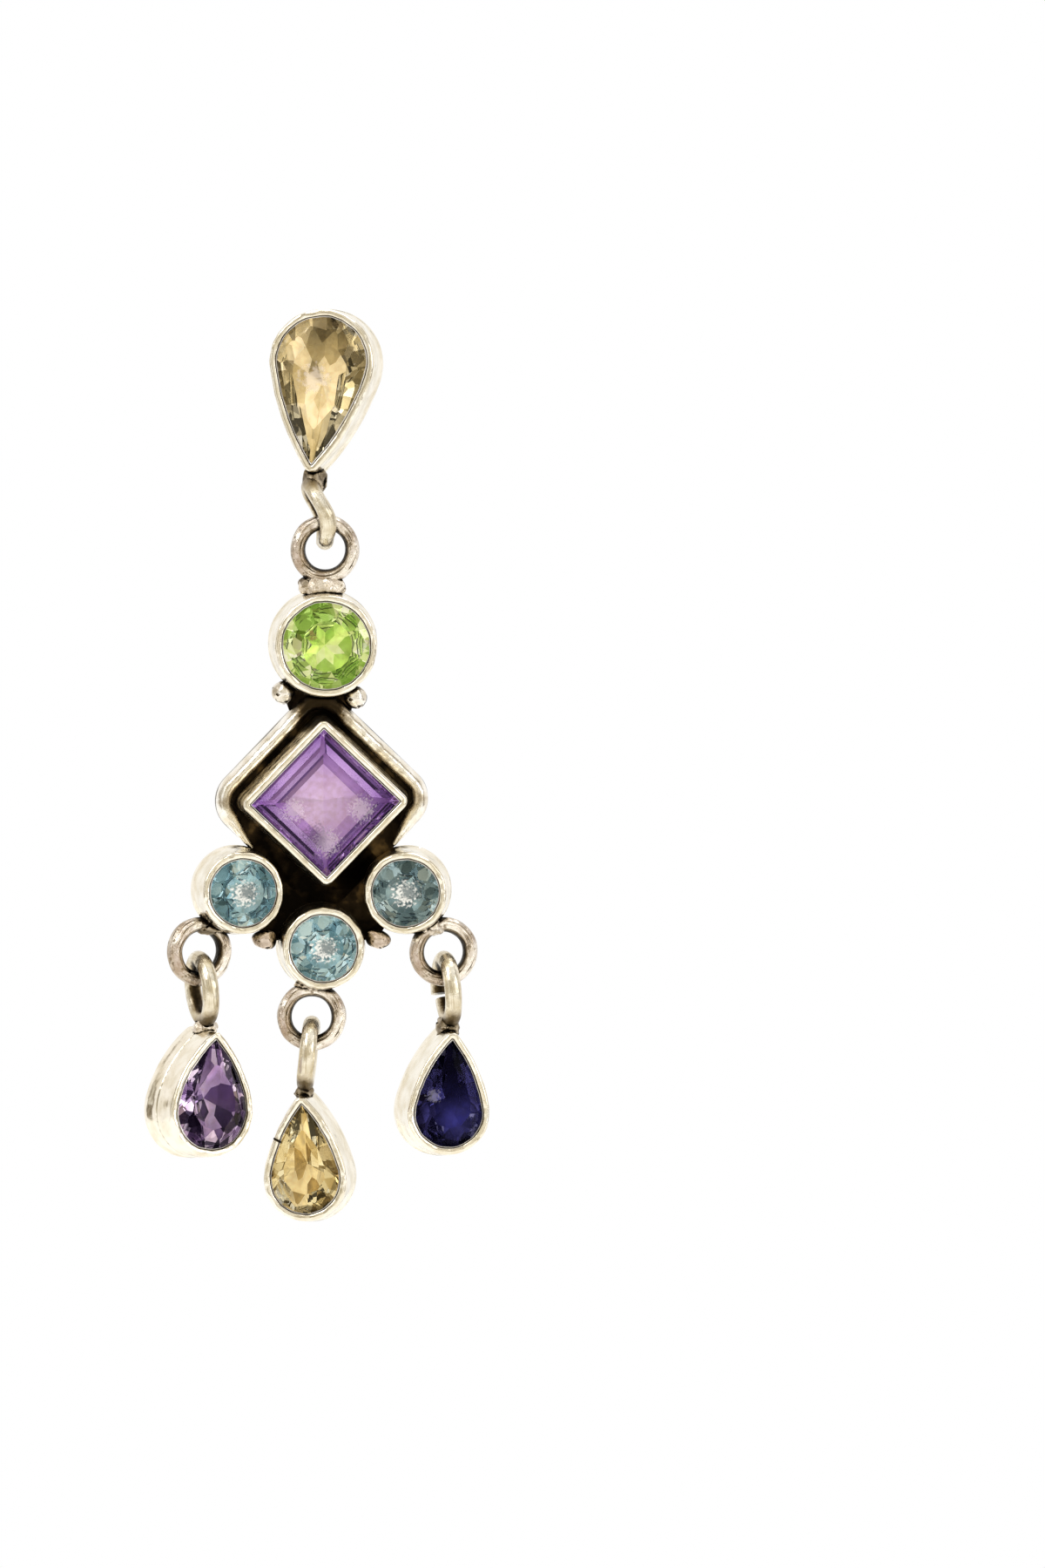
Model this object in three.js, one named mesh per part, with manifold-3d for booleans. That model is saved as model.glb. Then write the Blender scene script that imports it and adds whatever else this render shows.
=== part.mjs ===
// Chandelier drop earring: a pear-shaped stud, a soldered frame of five bezel cups that hangs from it
// by a ring, and three pear drops that hang from the frame. Silver settings, nine cut stones.
//
// Millimetres. The earring is drawn face-on, x to the right, y up and z to the front, and the last
// group turns the drawing so that +Z is up and the front faces -Y. The origin is on the stud's flat
// back, where the ear post stands.

import * as THREE from "three";
import { LoftGeometry } from "three/addons/geometries/LoftGeometry.js";
import { mergeVertices } from "three/addons/utils/BufferGeometryUtils.js";
import Module from "manifold-3d";

// Rings: the hook and the bails are of round wire, the frame's own rings of flattened wire.
const bailWire = 0.92;
const hookRadius = 1.6;
const bailRadius = 1.66;
const frameWire = 0.76;
const frameWireWidth = 1.1;
const frameRingRadius = 1.5;
const hangGap = 0.24;

// Bezel cups: the foot and the wall stand outside the stone's edge, the lip lies over it. The rim's
// bend is a share of its round.
const foot = 0.5;
const squareFoot = 0.6;
const wall = 0.3;
const lip = 0.13;
const lipRise = 0.38;
const rimRound = 0.16;
const rimBend = 0.3;
const cupBack = 0.55;
const culetGap = 0.15;
const seatWidth = 0.24;
const seatDrop = 0.36;
const stoneGap = 0.06;

// Stones: sizes at the girdle, heights above and below its middle. A pear's facets meet at a share
// of what it is longer than wide.
const girdle = 0.12;
const studStone = { width: 5.2, length: 8.4, shoulder: 14, crown: 0.72, pavilion: 1.82 };
const peridotStone = { width: 5.0, crown: 0.72, pavilion: 1.92 };
const squareStone = { width: 6.0, corner: 0.14, crown: 0.62, pavilion: 2.2 };
const topazStone = { width: 3.9, crown: 0.6, pavilion: 1.62 };
const leftStone = { width: 4.4, length: 6.3, shoulder: 12, crown: 0.62, pavilion: 2.0 };
const middleStone = { width: 4.0, length: 6.3, shoulder: 12, crown: 0.62, pavilion: 1.95 };
const rightStone = { width: 4.0, length: 6.2, shoulder: 12, crown: 0.62, pavilion: 2.0 };
const tipFlat = 0.1;
const pearHeart = 0.35;

// Stud: its pear points down and leans a little, the hook is soldered under the tip.
const studLean = -5.9;
const hookHeight = 1.3;
const hookLean = 10.5;
const postDiameter = 0.9;
const postLength = 11;
const studNub = 1.25;
const solderGap = 0.05;
const solderBite = 0.3;

// Frame: it hangs turned, nodding and leaning a little. The square stands on a corner. The border's
// bend and the edge of its top are shares of its width and rise.
const frameYaw = 13.5;
const framePitch = 4;
const frameLean = -0.1;
const plate = 0.6;
const topRing = { height: 1.5, gap: 0.34, nub: 1.1 };
const middleRing = { height: 1.0, angle: -7.5, yaw: -4 };
const leftRing = { height: 1.0, angle: -30, yaw: 22 };
const rightRing = { height: 1.0, angle: 30, yaw: 6 };
const ringSink = 0.42;
const tuck = 0.24;
const squareTurn = 46.5;
const groove = 0.18;
const borderWidth = 0.9;
const borderRise = 0.75;
const borderEnd = 1.85;
const borderBend = { across: 0.1, up: 0.45 };
const borderTop = 0.38;
const sideCupSlide = 0.13;
const sideCupTilt = 7;
const upperBall = { diameter: 1.26, leftAngle: 39, rightAngle: 31.5, tuck: 0.15 };
const lowerBall = { diameter: 1.1, out: 1.38, tuck: 0.15 };

// Drops: the yaw is against the frame, the bail's turn against its cup, and both leans against a plumb
// line.
const leftHang = { yaw: 22.5, bailTurn: -9, bailLean: 5, pearLean: -4.5 };
const middleHang = { yaw: -11.5, bailTurn: 4.5, bailLean: -5.5, pearLean: 3.2 };
const rightHang = { yaw: 6.5, bailTurn: 0, bailLean: 3.7, pearLean: -2.9 };
const dropPitch = 2;
const dropNub = 1.0;

// Numbers of sides of the round things.
const ringSides = 16;
const wireSides = 6;
const roundSides = 28;
const ballSides = 10;

const wasm = await Module();
wasm.setup();
const degrees = THREE.MathUtils.degToRad;

function solidOf(geometry) {
  const bare = new THREE.BufferGeometry().setIndex(geometry.index);
  bare.setAttribute("position", geometry.getAttribute("position"));
  const merged = mergeVertices(bare, 1e-4);
  const mesh = new wasm.Mesh({
    numProp: 3,
    vertProperties: merged.attributes.position.array,
    triVerts: new Uint32Array(merged.index.array),
  });
  return new wasm.Manifold(mesh);
}

function joined(solids) {
  return solids.reduce((whole, piece) => whole.add(piece));
}

function meshOf(name, solid, material) {
  const { vertProperties, triVerts } = solid.getMesh();
  const geometry = new THREE.BufferGeometry();
  geometry.setAttribute("position", new THREE.BufferAttribute(vertProperties, 3));
  geometry.setIndex(new THREE.BufferAttribute(triVerts, 1));
  geometry.computeVertexNormals();
  const mesh = new THREE.Mesh(geometry, material);
  mesh.name = name;
  return mesh;
}

// A place: a point, then a turn about the upright, a nod and a lean, in degrees.
function placed(thing, [x, y, z], { yaw = 0, pitch = 0, lean = 0 } = {}) {
  thing.position.set(x, y, z);
  thing.rotation.set(degrees(pitch), degrees(yaw), degrees(lean), "YXZ");
  thing.updateMatrix();
  return thing;
}

function moved(solid, point, turn) {
  return solid.transform(placed(new THREE.Object3D(), point, turn).matrix.elements);
}

// A point at a distance from zero, at an angle from straight down towards +x.
function below(distance, angle) {
  return [distance * Math.sin(degrees(angle)), -distance * Math.cos(degrees(angle))];
}

// Outlines: each gives the stone's edge, moved outwards by an offset, always with as many points.

function arc(centre, radius, from, to, steps) {
  return Array.from({ length: steps + 1 }, (_, i) => {
    const angle = from + ((to - from) * i) / steps;
    return new THREE.Vector2(Math.cos(angle), Math.sin(angle)).multiplyScalar(radius).add(centre);
  });
}

function roundOutline({ width }) {
  const middle = new THREE.Vector2();
  return (offset) => arc(middle, width / 2 + offset, 0, 2 * Math.PI, roundSides).slice(0, -1);
}

function squareOutline({ width, corner }) {
  const steps = 3;
  const sharpest = 0.04;
  const quarter = Math.PI / 2;
  return (offset) => {
    const radius = Math.max(corner + offset, sharpest);
    const reach = width / 2 + offset - radius;
    const corners = [
      [reach, reach],
      [-reach, reach],
      [-reach, -reach],
      [reach, -reach],
    ];
    return corners.flatMap(([x, y], i) =>
      arc(new THREE.Vector2(x, y), radius, i * quarter, (i + 1) * quarter, steps),
    );
  };
}

// A pear stands tip up about the middle of its round head. Each flank is an arc that leaves the head
// at the shoulder angle and runs to the tip, which ends in a small flat, wider round the metal.
function pearOutline({ width, length, shoulder }) {
  const flankSteps = 7;
  const headSteps = 14;
  const bluntness = 0.7;
  const head = width / 2;
  const tip = length - head;
  const angle = degrees(shoulder);
  const extra = (tip * tip - head * head) / (2 * (head - tip * Math.sin(angle)));
  const centre = new THREE.Vector2(-Math.cos(angle), -Math.sin(angle)).multiplyScalar(extra);
  return (offset) => {
    const flat = tipFlat + bluntness * Math.max(offset, 0);
    const radius = head + extra + offset;
    const flank = arc(centre, radius, angle, Math.acos((flat - centre.x) / radius), flankSteps);
    const otherFlank = flank.map((p) => new THREE.Vector2(-p.x, p.y)).reverse();
    const headArc = arc(new THREE.Vector2(), head + offset, Math.PI - angle, 2 * Math.PI + angle, headSteps);
    return [...flank, ...otherFlank, ...headArc.slice(1, -1)];
  };
}

function highestOf(points) {
  return Math.max(...points.map((p) => p.y));
}

// A solid through copies of an outline, one for each [offset, height] of the profile.
function loft(outline, profile) {
  const sections = profile.map(([offset, height]) =>
    outline(offset).map((p) => new THREE.Vector3(p.x, p.y, height)),
  );
  return solidOf(new LoftGeometry(sections, { capStart: true, capEnd: true }));
}

function slab(points, depth) {
  return solidOf(new THREE.ExtrudeGeometry(new THREE.Shape(points), { depth, bevelEnabled: false }));
}

// Stones: a straight-sided blank of the girdle's outline, cut by one plane for each facet. A tier of
// facets lies on two levels, each given as a share of the way to the girdle and a height.

function reachOf(points, middle, azimuth) {
  const towards = new THREE.Vector2(Math.cos(azimuth), Math.sin(azimuth));
  return Math.max(...points.map((p) => p.clone().sub(middle).dot(towards)));
}

function cutTier(stone, points, middle, { count, start, outer, inner }) {
  const wasteSize = 60;
  const up = new THREE.Vector3(0, 0, 1);
  let cut = stone;
  for (let i = 0; i < count; i++) {
    const azimuth = degrees(start + (360 * i) / count);
    const reach = reachOf(points, middle, azimuth);
    const rise = inner[1] - outer[1];
    const run = (outer[0] - inner[0]) * reach;
    const towards = new THREE.Vector3(Math.cos(azimuth), Math.sin(azimuth), 0);
    const facing = towards.clone().multiplyScalar(Math.abs(rise)).addScaledVector(up, Math.sign(rise) * run);
    const turn = new THREE.Quaternion().setFromUnitVectors(up, facing.normalize());
    const onPlane = towards.multiplyScalar(outer[0] * reach).addScaledVector(up, outer[1]);
    const waste = new THREE.BoxGeometry(wasteSize, wasteSize, wasteSize).translate(0, 0, wasteSize / 2);
    waste.applyQuaternion(turn).translate(middle.x + onPlane.x, middle.y + onPlane.y, onPlane.z);
    cut = cut.subtract(solidOf(waste));
  }
  return cut;
}

function cutStone(outline, middle, { crown, pavilion }, tiersOf) {
  const points = outline(0);
  const blank = slab(points, crown + pavilion).translate(0, 0, -pavilion);
  return tiersOf(crown, pavilion).reduce((stone, tier) => cutTier(stone, points, middle, tier), blank);
}

// Brilliant cut: eight mains, eight stars round the table and sixteen girdle facets above, eight
// mains and sixteen girdle facets below, where the mains meet in the culet. Reaches, rises and drops
// are shares of the way to the girdle and of the height above and below it.
const culetReach = 0.02;

function brilliantTiers(crown, pavilion) {
  const edge = girdle / 2;
  const table = 0.58;
  const star = { reach: 0.82, rise: 0.46 };
  const lower = { reach: 0.22, drop: 0.82 };
  const starHeight = edge + (crown - edge) * star.rise;
  const lowerHeight = -edge - (pavilion - edge) * lower.drop;
  const mains = 8;
  const girdleFacets = 2 * mains;
  const starTurn = 180 / mains;
  const girdleTurn = 180 / girdleFacets;
  const towardsStar = Math.cos(degrees(starTurn));
  const girdleReach = star.reach * Math.cos(degrees(girdleTurn));
  return [
    { count: mains, start: 0, outer: [1, edge], inner: [table, crown] },
    { count: girdleFacets, start: girdleTurn, outer: [1, edge], inner: [girdleReach, starHeight] },
    { count: mains, start: starTurn, outer: [star.reach, starHeight], inner: [table * towardsStar, crown] },
    { count: mains, start: 0, outer: [1, -edge], inner: [culetReach, -pavilion] },
    { count: girdleFacets, start: girdleTurn, outer: [1, -edge], inner: [lower.reach, lowerHeight] },
  ];
}

// Step cut: two steps from the square table to the girdle, three steps below it. Each step ends at a
// share of the way to the girdle and of the crown or the pavilion.
function stepTiers(crown, pavilion) {
  const edge = girdle / 2;
  const table = 0.68;
  const shares = { crown: [0.86, 0.6], upper: [0.8, 0.3], lower: [0.48, 0.68] };
  const crownStep = [shares.crown[0], edge + (crown - edge) * shares.crown[1]];
  const upperStep = [shares.upper[0], -pavilion * shares.upper[1]];
  const lowerStep = [shares.lower[0], -pavilion * shares.lower[1]];
  const steps = [
    [[1, edge], crownStep, [table, crown]],
    [[1, -edge], upperStep, lowerStep, [culetReach, -pavilion]],
  ];
  return steps.flatMap((levels) =>
    levels.slice(1).map((inner, i) => ({ count: 4, start: 0, outer: levels[i], inner })),
  );
}

// Closed-back bezel cup, deep enough for its stone: a hollow with a floor, a slanting seat under the
// stone's girdle and a lip over it.

function cupHeight({ pavilion }) {
  return cupBack + culetGap + pavilion + lipRise;
}

function girdleHeight(stone) {
  return cupHeight(stone) - lipRise;
}

function bezelCup(outline, stone, footOut = foot) {
  const rim = cupHeight(stone);
  const seat = girdleHeight(stone) - girdle / 2 - stoneGap;
  const underLip = girdleHeight(stone) + girdle / 2 + stoneGap;
  const cup = loft(outline, [
    [footOut, 0],
    [footOut, cupBack],
    [wall, rim - rimRound],
    [wall - rimBend * rimRound, rim - rimBend * rimRound],
    [wall - rimRound, rim],
  ]);
  const hollow = loft(outline, [
    [-seatWidth, cupBack],
    [-seatWidth, seat - seatDrop],
    [stoneGap, seat],
    [stoneGap, underLip],
    [-lip, underLip + stoneGap + lip],
    [-lip, rim + 1],
  ]);
  return cup.subtract(hollow);
}

// Rings and solder: a frame ring lies flat about its middle, a hanging ring stands on edge with the
// middle of its top wire at zero, and a nub of solder runs from a point down by its length.

function frameRing() {
  const ring = new THREE.TorusGeometry(frameRingRadius, frameWire / 2, wireSides, ringSides);
  return solidOf(ring.scale(1, 1, frameWireWidth / frameWire));
}

function hangingRing(radius, turn = 0) {
  const ring = new THREE.TorusGeometry(radius, bailWire / 2, wireSides, ringSides);
  return solidOf(ring.rotateY(Math.PI / 2 + degrees(turn)).translate(0, -radius, 0));
}

function nub(diameter, point, length, lean) {
  const stub = new THREE.CylinderGeometry(diameter / 2, diameter / 2, length, ballSides);
  return moved(solidOf(stub.translate(0, -length / 2, 0)), point, { lean });
}

function ball(diameter, point) {
  return moved(solidOf(new THREE.SphereGeometry(diameter / 2, ballSides, ballSides - 3)), point);
}

// How far the middle of a frame ring lies from the wire that it hangs on, or that hangs in it.
const linkDrop = frameRingRadius - frameWire / 2 - hangGap - bailWire / 2;

const silver = new THREE.MeshStandardMaterial({ color: 0xe6e0d2, roughness: 0.28, metalness: 1 });
const stoneOf = (color) => new THREE.MeshStandardMaterial({ color, roughness: 0.04, metalness: 0 });
const citrineYellow = stoneOf(0xd9b766);
const peridotGreen = stoneOf(0x9ccb45);
const amethystPurple = stoneOf(0x8a5fa8);
const topazBlue = stoneOf(0x86b3bd);
const ioliteBlue = stoneOf(0x2b2a63);
const centred = new THREE.Vector2();
const pearMiddle = ({ width, length }) => new THREE.Vector2(0, (length - width) * pearHeart);

// Stud: cup, ear post, solder nub and hook are soldered into one. The hook hangs under the tip.

const studOutline = pearOutline(studStone);
const tipDown = { lean: 180 + studLean };
const studTip = new THREE.Vector3(0, highestOf(studOutline(foot)), hookHeight);
studTip.applyMatrix4(placed(new THREE.Object3D(), [0, 0, 0], tipDown).matrix);
const hookTop = [studTip.x, studTip.y - solderGap - bailWire / 2, studTip.z];
const hook = placed(new THREE.Object3D(), hookTop, { yaw: frameYaw, lean: hookLean });
const hookBottom = new THREE.Vector3(0, -2 * hookRadius, 0).applyMatrix4(hook.matrix);

function earPost() {
  const radius = postDiameter / 2;
  const bluntEnd = { reach: 0.6, length: 0.8 };
  const sides = 12;
  const tipStart = radius - postLength;
  const profile = [
    new THREE.Vector2(0, -postLength),
    new THREE.Vector2(radius * bluntEnd.reach, tipStart - radius * bluntEnd.length),
    new THREE.Vector2(radius, tipStart),
    new THREE.Vector2(radius, cupBack / 2),
    new THREE.Vector2(0, cupBack / 2),
  ];
  return solidOf(new THREE.LatheGeometry(profile, sides).rotateX(Math.PI / 2));
}

const studSolid = joined([
  moved(bezelCup(studOutline, studStone), [0, 0, 0], tipDown),
  nub(studNub, [studTip.x, studTip.y + solderBite, studTip.z], 2 * solderBite + solderGap, 0),
  hangingRing(hookRadius).transform(hook.matrix.elements),
  earPost(),
]);
const studCitrineSolid = cutStone(studOutline, pearMiddle(studStone), studStone, brilliantTiers);
const studCitrine = meshOf("stud_citrine", studCitrineSolid, citrineYellow);
placed(studCitrine, [0, 0, girdleHeight(studStone)], tipDown);

const stud = new THREE.Group();
stud.add(meshOf("stud_setting", studSolid, silver), studCitrine);

// Frame: zero is the middle of the top ring, on the plate's back. Each cup's foot tucks into its
// neighbour, down the middle line and out to the two side cups.

const peridotOutline = roundOutline(peridotStone);
const squareEdge = squareOutline(squareStone);
const topazOutline = roundOutline(topazStone);
const peridotFoot = peridotStone.width / 2 + foot;
const topazFoot = topazStone.width / 2 + foot;
const borderInner = squareFoot + groove;
const borderOuter = borderInner + borderWidth;
const plateReach = highestOf(squareEdge(borderOuter).map((p) => p.rotateAround(centred, Math.PI / 4)));

const peridotY = -(frameRingRadius + frameWire / 2 + topRing.gap + peridotFoot);
const squareY = peridotY - peridotFoot - plateReach + tuck;
const middleTopazY = squareY - plateReach - topazFoot + tuck;
const sideReach = squareStone.width / 2 + borderOuter + topazFoot - tuck;
const sideX = (sideReach - sideCupSlide) * Math.SQRT1_2;
const sideY = squareY - (sideReach + sideCupSlide) * Math.SQRT1_2;
const sideLift = topazFoot * Math.sin(degrees(sideCupTilt));

// The place of each cup's foot, which its stone shares.
const peridotCup = { at: [0, peridotY, 0], turn: {} };
const squareCup = { at: [0, squareY, 0], turn: { lean: squareTurn } };
const leftCup = { at: [-sideX, sideY, sideLift], turn: { yaw: sideCupTilt } };
const middleCup = { at: [0, middleTopazY, 0], turn: {} };
const rightCup = { at: [sideX, sideY, sideLift], turn: { yaw: -sideCupTilt } };

// Border: a half-round wire laid round the upper sides of the square, down to the two side cups.
function border() {
  const across = (share) => borderInner + borderWidth * share;
  const top = plate + borderRise;
  const bend = plate + borderBend.up * borderRise;
  const outside = loft(squareEdge, [
    [borderOuter, 0],
    [borderOuter, plate],
    [across(1 - borderBend.across), bend],
    [across(1 - borderTop), top],
  ]);
  const inside = loft(squareEdge, [
    [borderInner, -1],
    [borderInner, plate],
    [across(borderBend.across), bend],
    [across(borderTop), top],
    [across(borderTop), top + 1],
  ]);
  const wire = moved(outside.subtract(inside), squareCup.at, squareCup.turn);
  const upper = new THREE.BoxGeometry(4 * plateReach, 4 * plateReach, 4 * plateReach);
  return wire.intersect(solidOf(upper.translate(0, sideY + borderEnd + 2 * plateReach, 0)));
}

// A lower ball stands in the gap between the middle cup and a side cup, an upper one beside the
// round cup.
function lowerBallAt(side) {
  const middle = new THREE.Vector2(0, middleTopazY);
  const other = new THREE.Vector2(side * sideX, sideY);
  const along = other.clone().sub(middle).normalize();
  const out = new THREE.Vector2(side * along.y, -side * along.x);
  const { x, y } = middle.add(other).multiplyScalar(0.5).addScaledVector(out, lowerBall.out);
  return [x, y, plate + lowerBall.diameter / 2 - lowerBall.tuck];
}

function upperBallAt(angle) {
  const [x, y] = below(peridotFoot + upperBall.diameter / 2 - upperBall.tuck, angle);
  return [x, peridotY + y, plate];
}

const upperBalls = [upperBallAt(-upperBall.leftAngle), upperBallAt(upperBall.rightAngle)];
const lowerBalls = [lowerBallAt(-1), lowerBallAt(1)];

// The plate's webs fill the corners between the cups, out to the balls.
function web(corners) {
  return slab(corners.map(([x, y]) => new THREE.Vector2(x, y)), plate);
}

const upperWeb = web([[0, squareY], upperBalls[1], [0, peridotY], upperBalls[0]]);
const lowerWeb = web([
  [0, squareY],
  [-sideX, sideY],
  lowerBalls[0],
  [0, middleTopazY],
  lowerBalls[1],
  [sideX, sideY],
]);

// A lower ring's middle, by the cup that it is soldered to and its angle from straight down.
function ringAt(cup, { angle, height }) {
  const [x, y] = below(topazFoot + frameRingRadius + frameWire / 2 - ringSink, angle);
  return [cup.at[0] + x, cup.at[1] + y, height];
}

const leftRingAt = ringAt(leftCup, leftRing);
const middleRingAt = ringAt(middleCup, middleRing);
const rightRingAt = ringAt(rightCup, rightRing);
const topNubAt = [0, solderBite - frameRingRadius - frameWire / 2, topRing.height];

const frameSolid = joined([
  moved(bezelCup(peridotOutline, peridotStone), peridotCup.at, peridotCup.turn),
  moved(bezelCup(squareEdge, squareStone, squareFoot), squareCup.at, squareCup.turn),
  ...[leftCup, middleCup, rightCup].map((cup) => moved(bezelCup(topazOutline, topazStone), cup.at, cup.turn)),
  moved(slab(squareEdge(borderOuter), plate), squareCup.at, squareCup.turn),
  border(),
  upperWeb,
  lowerWeb,
  ...upperBalls.map((at) => ball(upperBall.diameter, at)),
  ...lowerBalls.map((at) => ball(lowerBall.diameter, at)),
  moved(frameRing(), [0, 0, topRing.height]),
  nub(topRing.nub, topNubAt, topRing.gap + 2 * solderBite, 0),
  moved(frameRing(), leftRingAt, { yaw: leftRing.yaw }),
  moved(frameRing(), middleRingAt, { yaw: middleRing.yaw }),
  moved(frameRing(), rightRingAt, { yaw: rightRing.yaw }),
]);

function setStone(name, outline, stone, tiersOf, material, { at, turn }) {
  const mesh = meshOf(name, cutStone(outline, centred, stone, tiersOf), material);
  const raised = new THREE.Group();
  raised.add(placed(mesh, [0, 0, girdleHeight(stone)]));
  return placed(raised, at, turn);
}

const frame = new THREE.Group();
frame.add(
  meshOf("frame_setting", frameSolid, silver),
  setStone("peridot", peridotOutline, peridotStone, brilliantTiers, peridotGreen, peridotCup),
  setStone("amethyst", squareEdge, squareStone, stepTiers, amethystPurple, squareCup),
  setStone("topaz_left", topazOutline, topazStone, brilliantTiers, topazBlue, leftCup),
  setStone("topaz_middle", topazOutline, topazStone, brilliantTiers, topazBlue, middleCup),
  setStone("topaz_right", topazOutline, topazStone, brilliantTiers, topazBlue, rightCup),
);

// Drops: each hangs by its bail in a lower ring of the frame, its cup soldered under the bail.
function drop(name, gem, stone, material, hang, [x, y, z]) {
  const outline = pearOutline(stone);
  const bailFoot = 2 * bailRadius + bailWire / 2;
  const lie = { lean: hang.pearLean };
  const [footX, footY] = below(bailFoot, hang.bailLean);
  const [downX, downY] = below(solderGap + highestOf(outline(foot)), hang.pearLean);
  const cupAt = [footX + downX, footY + downY, -cupHeight(stone) / 2];
  const stoneAt = [cupAt[0], cupAt[1], cupAt[2] + girdleHeight(stone)];
  const nubAt = [...below(bailFoot - solderBite, hang.bailLean), 0];
  const setting = joined([
    moved(hangingRing(bailRadius, hang.bailTurn), [0, 0, 0], { lean: hang.bailLean }),
    nub(dropNub, nubAt, 2 * solderBite + solderGap, hang.pearLean),
    moved(bezelCup(outline, stone), cupAt, lie),
  ]);
  const gemSolid = cutStone(outline, pearMiddle(stone), stone, brilliantTiers);
  const group = new THREE.Group();
  group.add(
    meshOf(`${name}_setting`, setting, silver),
    placed(meshOf(`${name}_${gem}`, gemSolid, material), stoneAt, lie),
  );
  const upright = { yaw: hang.yaw, pitch: dropPitch - framePitch, lean: -frameLean };
  return placed(group, [x, y - linkDrop, z], upright);
}

frame.add(
  drop("drop_left", "amethyst", leftStone, amethystPurple, leftHang, leftRingAt),
  drop("drop_middle", "citrine", middleStone, citrineYellow, middleHang, middleRingAt),
  drop("drop_right", "iolite", rightStone, ioliteBlue, rightHang, rightRingAt),
);

// Main drop: the frame's top ring hangs on the hook's bottom wire, and turns about that wire.
const mainDrop = new THREE.Group();
mainDrop.add(placed(frame, [0, -linkDrop, -topRing.height]));
placed(mainDrop, hookBottom.toArray(), { yaw: frameYaw, pitch: framePitch, lean: frameLean });

const earring = new THREE.Group();
earring.rotation.x = Math.PI / 2;
earring.add(stud, mainDrop);

export default earring;
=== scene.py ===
from collections import namedtuple
from math import atan2, cos, pi, radians, sin, sqrt
from random import Random

import bmesh
import bpy
from mathutils import Matrix, Vector, noise


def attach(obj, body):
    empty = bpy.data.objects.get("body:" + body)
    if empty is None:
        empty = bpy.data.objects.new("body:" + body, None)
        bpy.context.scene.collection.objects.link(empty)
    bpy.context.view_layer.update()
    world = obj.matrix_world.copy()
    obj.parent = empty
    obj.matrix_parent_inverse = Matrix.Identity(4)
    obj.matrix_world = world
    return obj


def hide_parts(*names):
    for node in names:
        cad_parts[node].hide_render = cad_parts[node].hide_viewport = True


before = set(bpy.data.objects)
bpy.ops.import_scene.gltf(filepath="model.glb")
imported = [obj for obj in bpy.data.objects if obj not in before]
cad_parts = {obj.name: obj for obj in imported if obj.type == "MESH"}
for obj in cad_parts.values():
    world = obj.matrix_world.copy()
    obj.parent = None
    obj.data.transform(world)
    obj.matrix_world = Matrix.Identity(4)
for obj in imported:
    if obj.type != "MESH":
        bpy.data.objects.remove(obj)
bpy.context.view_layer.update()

# Studio. The earring hangs in front of a white ground under large soft lights. The camera stands level
# with it, a little to its right, with a long lens; the earring keeps its place in the photograph.
PHOTO_WIDTH = 1200
PHOTO_HEIGHT = 1800
PIXELS_PER_MM = 20.9
POST_PIXEL = (378.4, 418)
CAMERA_AZIMUTH = radians(8)
CAMERA_DISTANCE = 0.6
SENSOR_WIDTH = 36
FLOOR_DEPTH = 0.085
FLOOR_RADIUS = 0.2
LIGHT_AIM = Vector((0, 0, -0.02))
MM = 0.001


def srgb(hex_colour):
    """Linear colour of an sRGB hex value."""
    channels = [int(hex_colour[i:i + 2], 16) / 255 for i in (0, 2, 4)]
    return [c / 12.92 if c <= 0.04045 else ((c + 0.055) / 1.055) ** 2.4 for c in channels] + [1]


def add(tree, kind, inputs=None, stops=None, **settings):
    """A node with its settings, its inputs (values or other nodes' sockets) and a ramp's stops."""
    made = tree.nodes.new(kind)
    for name, value in settings.items():
        setattr(made, name, value)
    for socket, value in (inputs or {}).items():
        if isinstance(value, bpy.types.NodeSocket):
            tree.links.new(value, made.inputs[socket])
        else:
            made.inputs[socket].default_value = value
    if stops:
        elements = made.color_ramp.elements
        while len(elements) < len(stops):
            elements.new(1)
        for element, (position, colour) in zip(elements, stops):
            element.position = position
            element.color = colour
    return made


def new_material(name):
    material = bpy.data.materials.new(name)
    material.use_nodes = True
    material.node_tree.nodes.clear()
    return material, material.node_tree


back = Vector((sin(CAMERA_AZIMUTH), -cos(CAMERA_AZIMUTH), 0))
right = Vector((cos(CAMERA_AZIMUTH), sin(CAMERA_AZIMUTH), 0))
up = Vector((0, 0, 1))
aim = right * (PHOTO_WIDTH / 2 - POST_PIXEL[0]) - up * (PHOTO_HEIGHT / 2 - POST_PIXEL[1])
camera_data = bpy.data.cameras.new("camera")
camera_data.sensor_fit = "HORIZONTAL"
camera_data.sensor_width = SENSOR_WIDTH
camera_data.lens = PIXELS_PER_MM / MM * SENSOR_WIDTH * CAMERA_DISTANCE / PHOTO_WIDTH
camera_data.clip_start = 0.01
camera = bpy.data.objects.new("camera", camera_data)
camera.matrix_world = Matrix.Translation(aim * MM / PIXELS_PER_MM + back * CAMERA_DISTANCE) @ Matrix(
    (right, up, back)).transposed().to_4x4()
bpy.context.collection.objects.link(camera)
scene = bpy.context.scene
scene.camera = camera
scene.view_settings.view_transform = "Standard"

floor_mesh = bmesh.new()
bmesh.ops.create_circle(floor_mesh, cap_ends=True, segments=96, radius=FLOOR_RADIUS)
floor_data = bpy.data.meshes.new("floor")
floor_mesh.transform(Matrix.Translation((0, 0, -FLOOR_DEPTH)))
floor_mesh.to_mesh(floor_data)
floor_mesh.free()
floor = bpy.data.objects.new("floor", floor_data)
bpy.context.collection.objects.link(floor)
# White paper: matt and even, so it shows no gloss.
floor_white, tree = new_material("white paper floor")
shader = add(tree, "ShaderNodeBsdfPrincipled", {"Base Color": srgb("f4f4f2"), "Roughness": 0.9})
add(tree, "ShaderNodeOutputMaterial", {"Surface": shader.outputs["BSDF"]})
floor_data.materials.append(floor_white)

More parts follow.
